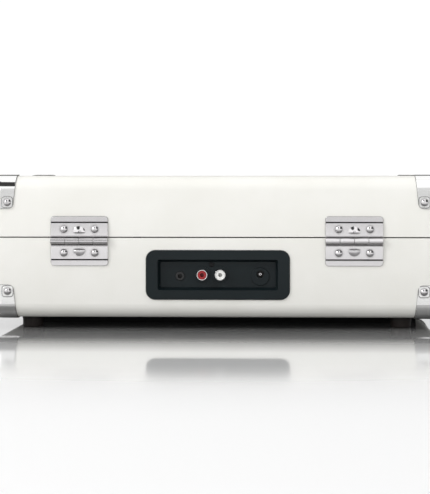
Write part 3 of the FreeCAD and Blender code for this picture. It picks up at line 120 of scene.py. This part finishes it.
def material(name, hex_value, roughness, metallic=0.0, ior=1.5):
    """A Principled material with one base colour, and its tree, shader and object coordinates."""
    made = bpy.data.materials.new(name)
    made.use_nodes = True
    tree = made.node_tree
    shader = tree.nodes["Principled BSDF"]
    shader.inputs["Base Color"].default_value = colour(hex_value)
    shader.inputs["Roughness"].default_value = roughness
    shader.inputs["Metallic"].default_value = metallic
    if not metallic:
        shader.inputs["IOR"].default_value = ior
    return made, tree, shader, add(tree, "TexCoord").outputs["Object"]


def per_metre(size_mm):
    """The scale that makes one cell of a pattern this many millimetres."""
    return 1 / (size_mm * MM)


# %% [markdown]
# `relief` presses a height pattern into a surface, over edges that a Bevel node has softened: no pressed, moulded or
# turned edge is perfectly sharp, and the thin bright line along it is what tells the eye its size. The shade helper
# paints shade: it darkens the colour where others stand close, in grooves, under knuckles and round rivets, and dulls
# the gloss there. It reads how much open space each point has about it, so it holds from every side.

# %% Relief and painted shade
def relief(tree, shader, height, depth_mm, strength=1.0, edge_mm=0.0):
    """Presses a height pattern into the surface, as deep as depth_mm, over edges rounded by edge_mm."""
    made = add(tree, "Bump", {"Height": height}, {"Strength": strength, "Distance": depth_mm * MM})
    if edge_mm:
        join(tree, made, {"Normal": add(tree, "Bevel", values={"Radius": edge_mm * MM}, samples=4).outputs["Normal"]})
    join(tree, shader, {"Normal": made.outputs["Normal"]})


def painted_crevice_shade(tree, shader, unshaded_hex, shade_hex, reach_mm, open_roughness):
    """Paints shade: darkens the colour, and dulls the surface, where others stand within reach_mm of it."""
    space = add(tree, "AmbientOcclusion", values={"Distance": reach_mm * MM}, samples=12).outputs["AO"]
    unshaded_share = add(tree, "MapRange", {"Value": space}, {"From Min": 0.66, "From Max": 0.98}).outputs["Result"]
    tint = add(tree, "ValToRGB", {"Fac": unshaded_share}, stops=[(0.0, shade_hex), (1.0, unshaded_hex)])
    gloss = add(tree, "MapRange", {"Value": unshaded_share}, {"To Min": 0.55, "To Max": open_roughness})
    join(tree, shader, {"Base Color": tint.outputs["Color"], "Roughness": gloss.outputs["Result"]})


# %% [markdown]
# ### Floor
# A sheet of white acrylic, refractive index 1.49: its middle is polished, and towards its edges it stays matt, so the
# mirror image of the case fades as it runs towards the eye. Close round the case the white is darkened to grey by a
# painted shadow. A black card under the case keeps light from coming through between the feet, as it would on a studio
# table, and is itself seen there as painted shade.

# %% Floor
polished_to = 0.37
matt_from = 0.74
shadow_margin = 0.2              # metres past the case's footprint
sheet_half = 20.0


def stage_object(name, shape, finish):
    """A piece of the studio, which isn't part of the record player."""
    data = bpy.data.meshes.new(name)
    shape.to_mesh(data)
    shape.free()
    data.materials.append(finish)
    made = bpy.data.objects.new(name, data)
    scene.collection.objects.link(made)


acrylic, tree, shader, place = material("white_acrylic_sheet", "8C8C8D", 0.03, ior=1.49)
# Painted shadow: the floor's colour is grey at the case's footprint and turns white 0.2 m past it.
folded = add(tree, "VectorMath", {0: place}, operation="ABSOLUTE").outputs["Vector"]
past_edge = add(tree, "VectorMath", {0: folded}, {1: (base_edge.x, base_edge.y, 0)}, operation="SUBTRACT")
outside = add(tree, "VectorMath", {0: past_edge.outputs["Vector"]}, {1: (0, 0, 0)}, operation="MAXIMUM")
gap = add(tree, "VectorMath", {0: outside.outputs["Vector"]}, operation="LENGTH").outputs["Value"]
unshaded_share = add(tree, "MapRange", {"Value": gap}, {"From Max": shadow_margin}).outputs["Result"]
tint = add(tree, "ValToRGB", {"Fac": unshaded_share}, stops=[(0.0, "7E7E7E"), (0.5, "B0B0B0"), (1.0, "FCFCFC")])
away = add(tree, "VectorMath", {0: place}, operation="LENGTH").outputs["Value"]
matt = add(tree, "MapRange", {"Value": away}, {"From Min": polished_to, "From Max": matt_from},
           interpolation_type="SMOOTHSTEP").outputs["Result"]
gloss = add(tree, "MapRange", {"Value": matt}, {"To Min": 0.03, "To Max": 0.7}).outputs["Result"]
mirror = add(tree, "MapRange", {"Value": matt}, {"To Min": 0.6, "To Max": 0.05}).outputs["Result"]
join(tree, shader, {"Base Color": tint.outputs["Color"], "Roughness": gloss, "Specular IOR Level": mirror})
waves = add(tree, "TexNoise", {"Vector": place}, {"Scale": per_metre(300), "Detail": 4.0}).outputs["Fac"]
relief(tree, shader, waves, 0.2, 0.05)

sheet_shape = bmesh.new()
bmesh.ops.create_grid(sheet_shape, x_segments=1, y_segments=1, size=sheet_half)
stage_object("floor", sheet_shape, acrylic)
print("floor polished to", polished_to, "m and matt from", matt_from, "m")

# %% Black card, painted shade between the feet
# The card blocks light, and its black is also seen between the feet as their shade: painted shade.
card_size = Vector((330, 3, 8)) * MM
card_place = 0.06              # towards the hinges, from the case's middle
shade_card_paper = material("black_shade_card", "0B0B0B", 0.9)[0]
card_shape = bmesh.new()
bmesh.ops.create_cube(card_shape, size=1.0)
bmesh.ops.scale(card_shape, verts=card_shape.verts, vec=card_size)
bmesh.ops.translate(card_shape, verts=card_shape.verts, vec=(0, card_place, card_size.z / 2))
stage_object("black_shade_card", card_shape, shade_card_paper)
print("card", tuple(round(side / MM) for side in card_size), "mm")

# %% [markdown]
# ### Light
# The studio is white all round, a little brighter on the eye's side. Plated metal only looks like metal when it has
# something dark to mirror, so the white has dark flags in it. Each is an oval, placed by how far across (X) and how
# high (Z) its direction points, and kept to one part of the room by its Y.

# %% World
world = bpy.data.worlds.new("studio")
scene.world = world
world.use_nodes = True
tree = world.node_tree
direction = add(tree, "TexCoord").outputs["Generated"]
forward = add(tree, "SeparateXYZ", {"Vector": direction}).outputs["Y"]
eye_side = add(tree, "MapRange", {"Value": forward}, {"From Min": 0.0, "From Max": 0.12})
beside = add(tree, "MapRange", {"Value": forward}, {"From Min": -0.5, "From Max": -0.35})
behind = add(tree, "MapRange", {"Value": forward}, {"From Min": -0.05, "From Max": -0.2})
level = add(tree, "MapRange", {"Value": forward},
            {"From Min": -0.2, "From Max": 0.4, "To Min": 1.03, "To Max": 1.40}).outputs["Result"]
flags = [
    # part of the room, across, high, half width, half height, share of the light that is left
    (eye_side, 0.24, 0.62, 0.24, 0.26, 0.04),    # the dark band along the metal corners' top
    (beside, -0.80, 0.56, 0.36, 0.42, 0.03),     # the dark side of every rivet
    (eye_side, -0.04, 0.06, 0.26, 0.22, 0.64),   # the room's dim end, in flat plates
    (behind, 0.0, 0.56, 1.2, 0.17, 0.08),        # the line along the lid's top
]
for part, across, high, half_across, half_high, left_over in flags:
    oval = add(tree, "Mapping", {"Vector": direction}, {
        "Scale": (1 / half_across, 0, 1 / half_high),
        "Location": (-across / half_across, 0, -high / half_high),
    })
    reach = add(tree, "VectorMath", {0: oval.outputs["Vector"]}, operation="LENGTH").outputs["Value"]
    inside = add(tree, "MapRange", {"Value": reach}, {"From Min": 1.1, "From Max": 0.85, "To Max": 1 - left_over})
    shade = add(tree, "Math", {0: inside.outputs["Result"], 1: part.outputs["Result"]}, operation="MULTIPLY")
    lit = add(tree, "Math", {1: shade.outputs["Value"]}, {0: 1.0}, operation="SUBTRACT")
    level = add(tree, "Math", {0: level, 1: lit.outputs["Value"]}, operation="MULTIPLY").outputs["Value"]
sky = tree.nodes["Background"]
sky.inputs["Color"].default_value = (1, 1, 1, 1)
join(tree, sky, {"Strength": level})
print("world with", len(flags), "dark flags")

# %% [markdown]
# Three soft boxes join the white room. One overhead lights the lid's edge. One low behind the eye fills the case's
# shadowed wall, and is hidden from mirrors so that flat plates don't flare. One up on the aux socket's side puts the
# glint on every rivet.

# %% Lamps
def soft_box(name, spot, size, watts, mirrored=True):
    """A square lamp that faces the middle of the case; one that isn't mirrored only lights."""
    data = bpy.data.lights.new(name, "AREA")
    data.size = size
    data.energy = watts
    lamp = bpy.data.objects.new(name, data)
    lamp.location = spot
    lamp.rotation_euler = (view_middle - Vector(spot)).to_track_quat("-Z", "Y").to_euler()
    lamp.visible_glossy = mirrored
    scene.collection.objects.link(lamp)


soft_box("overhead_soft_box", (0.1, -0.35, 1.6), 1.1, 0.8)
soft_box("low_soft_box", (0.1, 2.6, 0.2), 1.2, 13, mirrored=False)
soft_box("glint_soft_box", (1.5, 1.3, 1.25), 0.4, 9)
print(len(bpy.data.lights), "lamps set")

# %% [markdown]
# ## Finishes
# ### Leatherette
# The covering is vinyl-coated cloth with an embossed leather grain, a satin cream white. The grain's pebbles are about
# 0.9 mm; a slow cloudiness of a few centimetres comes from the cloth under it, and its gloss is broken by the grain.
# A line of painted shade darkens the last millimetre along the hinges and corners. A colour Mix node's two colours are
# its inputs 6 and 7, and its colour output is number 2.

# %% Leatherette
def leatherette(name, hex_light, hex_dark, grain_mm):
    made, tree, shader, place = material(name, hex_light, 0.5, ior=1.53)
    shader.inputs["Specular IOR Level"].default_value = 0.35
    pebbles = add(tree, "TexVoronoi", {"Vector": place}, {"Scale": per_metre(grain_mm)}, feature="SMOOTH_F1")
    creases = add(tree, "TexNoise", {"Vector": place}, {"Scale": per_metre(grain_mm * 3), "Detail": 6.0})
    creases = creases.outputs["Fac"]
    grain = add(tree, "Math", {0: pebbles.outputs["Distance"], 1: creases}, operation="ADD").outputs["Value"]
    relief(tree, shader, grain, 0.06, 0.5)
    clouds = add(tree, "TexNoise", {"Vector": place}, {"Scale": per_metre(45), "Detail": 3.0}).outputs["Fac"]
    tint = add(tree, "ValToRGB", {"Fac": clouds}, stops=[(0.35, hex_dark), (0.65, hex_light)])
    # Painted shade: the cream darkens to a grey brown where hinges and corners stand within 1.2 mm.
    space = add(tree, "AmbientOcclusion", values={"Distance": 1.2 * MM}, samples=12).outputs["AO"]
    crevice_shade = add(tree, "ValToRGB", {"Fac": space}, stops=[(0.45, "4A4842"), (0.72, "FFFFFF")])
    clouded_and_shaded = add(tree, "Mix", {6: tint.outputs["Color"], 7: crevice_shade.outputs["Color"]}, {0: 1.0},
                  data_type="RGBA", blend_type="MULTIPLY").outputs[2]
    gloss = add(tree, "MapRange", {"Value": creases}, {"To Min": 0.42, "To Max": 0.62}).outputs["Result"]
    join(tree, shader, {"Base Color": clouded_and_shaded, "Roughness": gloss})
    return made


cream_leatherette = leatherette("cream_leatherette", "EEEDE8", "EAE9E3", 0.9)
print("made", cream_leatherette.name)

# %% [markdown]
# ### Metals
# Hinges, rivets and latches are pressed steel with nickel plate, the corners and the phono sockets' shells are
# brighter chrome. Both are nearly mirrors, with the hairlines of their polishing stretched along the sheet and painted
# shade in their hollows. Turned pieces carry the fine rings of the lathe instead, and the motor's can the soft spangle
# of zinc.
# Those keep a light haze where fingers have been. A metal's colour is what it mirrors back.

# %% Metals
def metal(name, hex_value, roughness, mark_mm, depth_mm, stretch=(1, 1, 1), edge_mm=0.25, shade_mm=0):
    made, tree, shader, place = material(name, hex_value, roughness, metallic=1.0)
    drawn = add(tree, "Mapping", {"Vector": place}, {"Scale": stretch}).outputs["Vector"]
    marks = add(tree, "TexNoise", {"Vector": drawn}, {"Scale": per_metre(mark_mm), "Detail": 4.0})
    relief(tree, shader, marks.outputs["Fac"], depth_mm, 0.4, edge_mm)
    if shade_mm:
        # Painted shade: the colour darkens to near black where other parts stand close, in grooves and round rivets.
        painted_crevice_shade(tree, shader, hex_value, "17130F", shade_mm, roughness)
    else:
        haze = add(tree, "TexNoise", {"Vector": place}, {"Scale": per_metre(9), "Detail": 3.0}).outputs["Fac"]
        gloss = add(tree, "MapRange", {"Value": haze}, {"To Min": roughness * 0.7, "To Max": roughness * 1.4})
        join(tree, shader, {"Roughness": gloss.outputs["Result"]})
    return made


# Bright nickel: a clear, slightly warm mirror, with black lines of painted shade in its grooves.
nickel_plate = metal("nickel_plated_steel", "D2D0D1", 0.09, 0.8, 0.003, (1, 1, 6), 0.3, 2.2)
# Chrome: the brightest and sharpest mirror on the case.
chrome_plate = metal("chrome_plated_steel", "E6E6E5", 0.06, 0.8, 0.002, (1, 1, 6), 0.3, 1.2)
# Bare turned steel: grey, with streaked highlights.
turned_steel = metal("turned_steel", "B9B9B8", 0.28, 0.6, 0.006, (1, 1, 8))
# Black oxide: steel that is nearly black, with only its edges catching light.
black_screw_steel = metal("black_oxide_steel", "2B2B2C", 0.35, 0.4, 0.006)
# Zinc plate: dull blue-grey.
zinc_plate = metal("zinc_plated_can", "A8ABAD", 0.38, 2.0, 0.01)
# Satin anodised aluminium: pale, with a soft wide highlight.
satin_aluminium = metal("satin_anodised_aluminium", "C9CACB", 0.32, 0.5, 0.006, (1, 0.1, 1))
# Turned brass: yellow, with streaked highlights.
turned_brass = metal("turned_brass", "C4A35A", 0.3, 0.5, 0.006, (1, 1, 8))
print(len(bpy.data.materials), "materials so far")

# %% [markdown]
# ### Moulded plastics, rubber and paint
# Each moulding has the fine spark texture of its tool, and a slow change of gloss and tone where the melt cooled last.
# The refractive index is that of the plastic: ABS 1.54, polypropylene 1.49, acrylic 1.49, PVC 1.54, rubber 1.52.

# %% Mouldings
def moulding(name, hex_light, hex_dark, roughness, texture_mm, depth_mm, ior=1.54, edge_mm=0.3, mirror=0.5):
    made, tree, shader, place = material(name, hex_light, roughness, ior=ior)
    shader.inputs["Specular IOR Level"].default_value = mirror
    texture = add(tree, "TexNoise", {"Vector": place}, {"Scale": per_metre(texture_mm), "Detail": 5.0})
    relief(tree, shader, texture.outputs["Fac"], depth_mm, 0.6, edge_mm)
    flow = add(tree, "TexNoise", {"Vector": place}, {"Scale": per_metre(22), "Detail": 2.0}).outputs["Fac"]
    tint = add(tree, "ValToRGB", {"Fac": flow}, stops=[(0.3, hex_dark), (0.7, hex_light)])
    gloss = add(tree, "MapRange", {"Value": flow},
                {"To Min": roughness * 0.85, "To Max": min(1.0, roughness * 1.2)})
    join(tree, shader, {"Base Color": tint.outputs["Color"], "Roughness": gloss.outputs["Result"]})
    return made


# Spark-eroded ABS: a blue-black that mirrors very little.
jack_plastic = moulding("blue_black_abs", "101B1E", "0C1619", 0.42, 0.7, 0.012, mirror=0.22)
# Plain black ABS: charcoal, with a wide soft highlight.
black_plastic = moulding("black_abs", "171818", "121314", 0.42, 0.6, 0.01)
# Polished black ABS: deep black with clear highlights.
gloss_black = moulding("gloss_black_abs", "121213", "0E0E0F", 0.16, 3.0, 0.004)
# Polypropylene inserts: waxy red and white.
socket_red = moulding("red_polypropylene", "A9161A", "8F1014", 0.3, 0.5, 0.006, ior=1.49)
socket_white = moulding("white_polypropylene", "F7F7F5", "EFEFEC", 0.3, 0.5, 0.006, ior=1.49)
# Cream ABS: the deck, a shade darker than the covering.
cream_plastic = moulding("cream_abs", "E6E3DA", "E0DDD3", 0.45, 0.6, 0.012)
# Acrylic: a glossy red lens.
lamp_lens = moulding("red_acrylic_lens", "A8140E", "8C0F0B", 0.12, 2.0, 0.002, ior=1.49)
# PVC sleeve: satin black.
lead_pvc = moulding("black_pvc_sleeve", "1A1A1B", "131314", 0.45, 0.5, 0.01, edge_mm=0)
# Rubber: matt, brown in the feet and ground black in the belt.
foot_rubber = moulding("dark_brown_rubber", "1D1512", "16100D", 0.62, 0.5, 0.02, ior=1.52)
belt_rubber = moulding("ground_black_rubber", "161616", "111111", 0.7, 0.3, 0.02, ior=1.52, edge_mm=0.1)
# Powder coat: a fine orange peel in black.
grille_paint = moulding("black_powder_coat", "1B1B1C", "161617", 0.55, 0.35, 0.02, ior=1.5, edge_mm=0.15)
# Paper: the speakers' dead matt cones.
paper_cone = moulding("black_paper_cone", "1D1D1E", "171718", 0.85, 0.4, 0.03, ior=1.5)
# Ink: flat grey.
printing_ink = moulding("grey_printing_ink", "4A4A48", "42423F", 0.6, 0.2, 0.004, ior=1.5, edge_mm=0)
# Polyester thread: cream with a slight sheen, darker than the covering so that the stitches show.
stitch_thread = moulding("cream_polyester_thread", "D9D5C8", "CFCABB", 0.6, 0.25, 0.04, ior=1.55, edge_mm=0)
print(len(bpy.data.materials), "materials so far")

# %% [markdown]
# ### Wood and circuit board
# The case is thin poplar board; its long grain shows only where the covering ends, so the noise is drawn out along the
# case. The circuit boards are green solder mask over copper areas, which show as a lighter green.

# %% Wood and circuit board
def board_wood():
    made, tree, shader, place = material("poplar_board", "B08A5E", 0.7)
    along = add(tree, "Mapping", {"Vector": place}, {"Scale": (0.12, 1, 1)}).outputs["Vector"]
    rings = add(tree, "TexNoise", {"Vector": along}, {"Scale": per_metre(6), "Detail": 8.0}).outputs["Fac"]
    tint = add(tree, "ValToRGB", {"Fac": rings}, stops=[(0.3, "8F6B43"), (0.7, "BE9A6D")])
    join(tree, shader, {"Base Color": tint.outputs["Color"]})
    relief(tree, shader, rings, 0.05, 0.6, 0.4)
    return made


def solder_mask():
    made, tree, shader, place = material("green_solder_mask", "1F5B36", 0.35)
    areas = add(tree, "TexBrick", {"Vector": place},
                {"Scale": per_metre(12), "Color1": colour("1F5B36"), "Color2": colour("276B41"),
                 "Mortar": colour("3B8152"), "Mortar Size": 0.03})
    join(tree, shader, {"Base Color": areas.outputs["Color"]})
    relief(tree, shader, areas.outputs["Fac"], 0.03, 0.5)
    return made


poplar_board = board_wood()
green_board = solder_mask()
print("made", poplar_board.name, "and", green_board.name)

# %% [markdown]
# ### Felt and cloth
# The mat is pressed wool felt, whose fibres lie every way and catch light at the rim. The lid is lined with plain
# black cloth. Its threads are drawn 0.9 mm wide, twice the real ones, so that they don't shimmer at this size.

# %% Felt and cloth
def felt_fibres(tree, place):
    values = {"Scale": per_metre(0.8), "Detail": 8.0, "Distortion": 1.5}
    return add(tree, "TexNoise", {"Vector": place}, values).outputs["Fac"]


def plain_weave(tree, place):
    """Two sets of threads crossing; a third for the sides, so that every face shows two."""
    threads = [
        add(tree, "TexWave", {"Vector": place}, {"Scale": per_metre(0.9) / (2 * math.pi)},
            bands_direction=axis).outputs["Fac"]
        for axis in ("X", "Y", "Z")
    ]
    crossed = add(tree, "Math", {0: threads[0], 1: threads[1]}, operation="ADD").outputs["Value"]
    total = add(tree, "Math", {0: crossed, 1: threads[2]}, operation="ADD").outputs["Value"]
    return add(tree, "Math", {0: total}, {1: 3.0}, operation="DIVIDE").outputs["Value"]


def soft_cloth(name, hex_light, hex_dark, pattern, depth_mm, sheen):
    """A matt cloth with the given pattern of fibres or threads."""
    made, tree, shader, place = material(name, hex_light, 0.9)
    shader.inputs["Sheen Weight"].default_value = sheen
    shader.inputs["Sheen Roughness"].default_value = 0.5
    height = pattern(tree, place)
    tint = add(tree, "ValToRGB", {"Fac": height}, stops=[(0.3, hex_dark), (0.7, hex_light)])
    join(tree, shader, {"Base Color": tint.outputs["Color"]})
    relief(tree, shader, height, depth_mm, 0.8)
    return made


black_felt = soft_cloth("black_wool_felt", "262627", "131314", felt_fibres, 0.15, 0.35)
black_lining = soft_cloth("black_woven_lining", "242425", "0F0F10", plain_weave, 0.08, 0.2)
print(len(bpy.data.materials), "materials in all")

# %% [markdown]
# ## Dress the frame
# Every CAD node takes one of these finishes, those that are remade below too.

# %% Give each node its finish
finishes = {
    cream_leatherette: ["base_wrap", "lid_wrap", "handle_grip"],
    poplar_board: ["base_carcass", "lid_carcass"],
    chrome_plate: ["base_corners", "lid_corners", "rca_shells"],
    nickel_plate: ["base_rivets", "lid_rivets", "hinge_base_leaves", "hinge_lid_leaves",
                   "hinge_and_latch_pins", "latch_plates", "latch_catches", "latch_lever_left",
                   "latch_lever_right", "handle_brackets", "handle_ends", "cue_lever", "power_contacts"],
    turned_steel: ["spindle"],
    black_screw_steel: ["screws"],
    jack_plastic: ["jack_panel"],
    black_plastic: ["aux_jack", "power_jack", "control_switches", "volume_knob", "function_knob",
                    "speed_lever", "autostop_slider", "headphone_jack"],
    gloss_black: ["platter", "arm_base", "arm_gimbal", "headshell", "cartridge", "arm_rest", "arm_clip",
                  "cue_lift"],
    socket_red: ["rca_insert_red", "stylus"],
    socket_white: ["rca_insert_white"],
    foot_rubber: ["feet"],
    cream_plastic: ["deck"],
    grille_paint: ["speaker_grilles"],
    paper_cone: ["speakers"],
    black_felt: ["platter_mat"],
    turned_brass: ["bearing_bush", "motor_pulley"],
    belt_rubber: ["drive_belt"],
    zinc_plate: ["motor"],
    green_board: ["circuit_boards"],
    lead_pvc: ["leads"],
    black_lining: ["lid_lining"],
    satin_aluminium: ["arm_tube", "counterweight", "record_adapter"],
    lamp_lens: ["power_lamp"],
}
for finish, names in finishes.items():
    for name in names:
        nodes[name].data.materials.clear()
        nodes[name].data.materials.append(finish)
dressed = {name for names in finishes.values() for name in names}
print("dressed", len(dressed), "of", len(nodes), "nodes; left:", sorted(set(nodes) - dressed))

# %% [markdown]
# ## Pieces made here
# `finished` turns a bmesh into an object that rides a CAD body: doubles merged, normals outward, smooth shading with
# real corners kept sharp. It prints how many edges are open, which is none on a closed piece.

# %% Piece helper
def finished(name, shape, finish, body, corner=40, replaced=()):
    bmesh.ops.remove_doubles(shape, verts=shape.verts, dist=1e-6)
    bmesh.ops.recalc_face_normals(shape, faces=shape.faces)
    open_edges = sum(edge.is_boundary for edge in shape.edges)
    data = bpy.data.meshes.new(name)
    shape.to_mesh(data)
    shape.free()
    data.materials.append(finish)
    data.shade_smooth()
    data.set_sharp_from_angle(angle=math.radians(corner))
    made = bpy.data.objects.new(name, data)
    scene.collection.objects.link(made)
    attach(made, body)
    if replaced:
        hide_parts(*replaced)
    print(name, len(data.polygons), "faces,", open_edges, "open edges,",
          tuple(round(side / MM, 1) for side in made.dimensions), "mm")
    return made


def middle_of(node):
    """A CAD node's middle and size."""
    low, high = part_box(node)
    return (low + high) / 2, high - low


# %% [markdown]
# ### Handle grip
# The grip is a foam-covered rod wrapped in the same leatherette, fuller in the middle than at its ends. A profile spun
# about the rod's own axis gives its body, and its two ends are filled.

# %% Grip
grip_middle, grip_size = middle_of("handle_grip")
grip_half = grip_size.x / 2
grip_radius = grip_size.y / 2
grip_stations = 24
grip_sides = 48


def grip_reach(share):
    """The grip's radius where share runs from -1 to 1 along it: a slow belly, and quick shoulders at the ends."""
    return grip_radius * (1 - 0.1 * share ** 2 - 0.12 * abs(share) ** 14)


grip_shape = bmesh.new()
profile = []
for station in range(grip_stations + 1):
    share = station / grip_stations * 2 - 1
    profile.append(grip_shape.verts.new(grip_middle + Vector((share * grip_half, 0, grip_reach(share)))))
rim = [grip_shape.edges.new(pair) for pair in zip(profile, profile[1:])]
bmesh.ops.spin(grip_shape, geom=profile + rim, cent=grip_middle, axis=(1, 0, 0), angle=2 * math.pi,
               steps=grip_sides, use_merge=True)
bmesh.ops.edgeloop_fill(grip_shape, edges=[edge for edge in grip_shape.edges if edge.is_boundary])
grip = finished("grip_cover", grip_shape, cream_leatherette, "handle", replaced=("handle_grip",))

# %% [markdown]
# The wrap meets in a seam that faces up and outward while the handle hangs, sewn down on both sides of it with cream
# thread. A stitch is a small stretched sphere, half sunk in the cover, and they are laid in two rows.

# %% Grip stitches
seam_turn = math.radians(120)
row_turn = 0.24                # radians from the seam to each row
stitch_count = 30
stitch_half = Vector((1.05, 0.3, 0.3)) * MM
stitch_sink = 0.05 * MM

stitch_shape = bmesh.new()
for index in range(stitch_count):
    share = (index + 0.5) / stitch_count * 2 - 1
    for side in (-1, 1):
        turn = seam_turn + side * row_turn
        out = Vector((0, math.cos(turn), math.sin(turn)))
        spot = grip_middle + Vector((share * grip_half, 0, 0)) + out * (grip_reach(share) - stitch_sink)
        stitch = bmesh.ops.create_icosphere(stitch_shape, subdivisions=1, radius=1.0)["verts"]
        bmesh.ops.scale(stitch_shape, verts=stitch, vec=stitch_half)
        bmesh.ops.translate(stitch_shape, verts=stitch, vec=spot)
finished("grip_stitches", stitch_shape, stitch_thread, "handle", corner=80)

# %% [markdown]
# ### Knobs
# Both knobs are black ABS with 36 shallow flutes for the fingers, a spun aluminium disc pressed into the top, and a
# white line for the setting. A cone tool makes the drum, every other pair of its side vertices is drawn in a little
# to make the flutes, and its top edge is beveled.

# %% Knobs
drum_height = 13 * MM
drum_sides = 144               # four to a flute
flute_depth = 0.35 * MM
drum_bevel = 0.9 * MM
cap_thickness = 0.5 * MM
cap_sink = 0.05 * MM
line_width = 0.9 * MM
line_thickness = 0.1 * MM
line_rise = 0.22 * MM


def knob_drum(node, middle, radius, top):
    shape = bmesh.new()
    drum = bmesh.ops.create_cone(shape, cap_ends=True, segments=drum_sides, radius1=radius,
                                 radius2=radius * 0.95, depth=drum_height)["verts"]
    bmesh.ops.translate(shape, verts=drum, vec=(middle.x, middle.y, top - drum_height / 2))
    for vertex in drum:
        inward = Vector((middle.x - vertex.co.x, middle.y - vertex.co.y, 0))
        turn = math.atan2(-inward.y, -inward.x)
        if round(turn / (2 * math.pi) * drum_sides) % 4 < 2:
            vertex.co += inward.normalized() * flute_depth
    top_face = max(shape.faces, key=lambda face: face.calc_center_median().z)
    bmesh.ops.bevel(shape, geom=list(top_face.edges), offset=drum_bevel, segments=3, profile=0.5,
                    affect="EDGES", material=-1)
    finished(node + "_drum", shape, black_plastic, node, 35, (node,))


def knob(node):
    """A knob on the body that has the CAD knob's name."""
    middle, size = middle_of(node)
    radius, top = size.x / 2, middle.z + size.z / 2
    knob_drum(node, middle, radius, top)
    disc = bmesh.new()
    bmesh.ops.create_cone(disc, cap_ends=True, segments=64, radius1=radius * 0.8, radius2=radius * 0.8,
                          depth=cap_thickness)
    bmesh.ops.translate(disc, verts=disc.verts, vec=(middle.x, middle.y, top - cap_sink))
    finished(node + "_cap", disc, satin_aluminium, node)
    line = bmesh.new()
    bmesh.ops.create_cube(line, size=1.0)
    bmesh.ops.scale(line, verts=line.verts, vec=(line_width, radius * 0.45, line_thickness))
    bmesh.ops.translate(line, verts=line.verts, vec=(middle.x, middle.y + radius * 0.52, top + line_rise))
    finished(node + "_line", line, socket_white, node)


knob("volume_knob")
knob("function_knob")

# %% [markdown]
# ### Printing on the deck
# Grey ink marks the knobs' settings: eleven strokes round the volume knob, over the 290 degrees that it turns, and
# three by the function knob. Each stroke is a film of ink 0.04 mm thick, half sunk in the deck.

# %% Printed strokes
deck_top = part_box("deck")[1].z
stroke_size = Vector((0.5, 2.2, 0.04)) * MM
stroke_gap = 3 * MM            # from the knob to a stroke's middle
volume_step = 29               # degrees
function_step = 30


def strokes(name, node, turns):
    """Strokes round a knob, at these degrees from the hinge side."""
    middle, size = middle_of(node)
    shape = bmesh.new()
    for turn in map(math.radians, turns):
        out = Vector((math.sin(turn), math.cos(turn), 0))
        spot = Vector((middle.x, middle.y, deck_top)) + out * (size.x / 2 + stroke_gap)
        mark = bmesh.ops.create_cube(shape, size=1.0)["verts"]
        bmesh.ops.scale(shape, verts=mark, vec=stroke_size)
        bmesh.ops.rotate(shape, verts=mark, cent=(0, 0, 0), matrix=Matrix.Rotation(-turn, 3, "Z"))
        bmesh.ops.translate(shape, verts=mark, vec=spot)
    finished(name, shape, printing_ink, "base")


strokes("volume_strokes", "volume_knob", [volume_step * step for step in range(11)])
strokes("function_strokes", "function_knob", [function_step * step for step in (-1, 0, 1)])
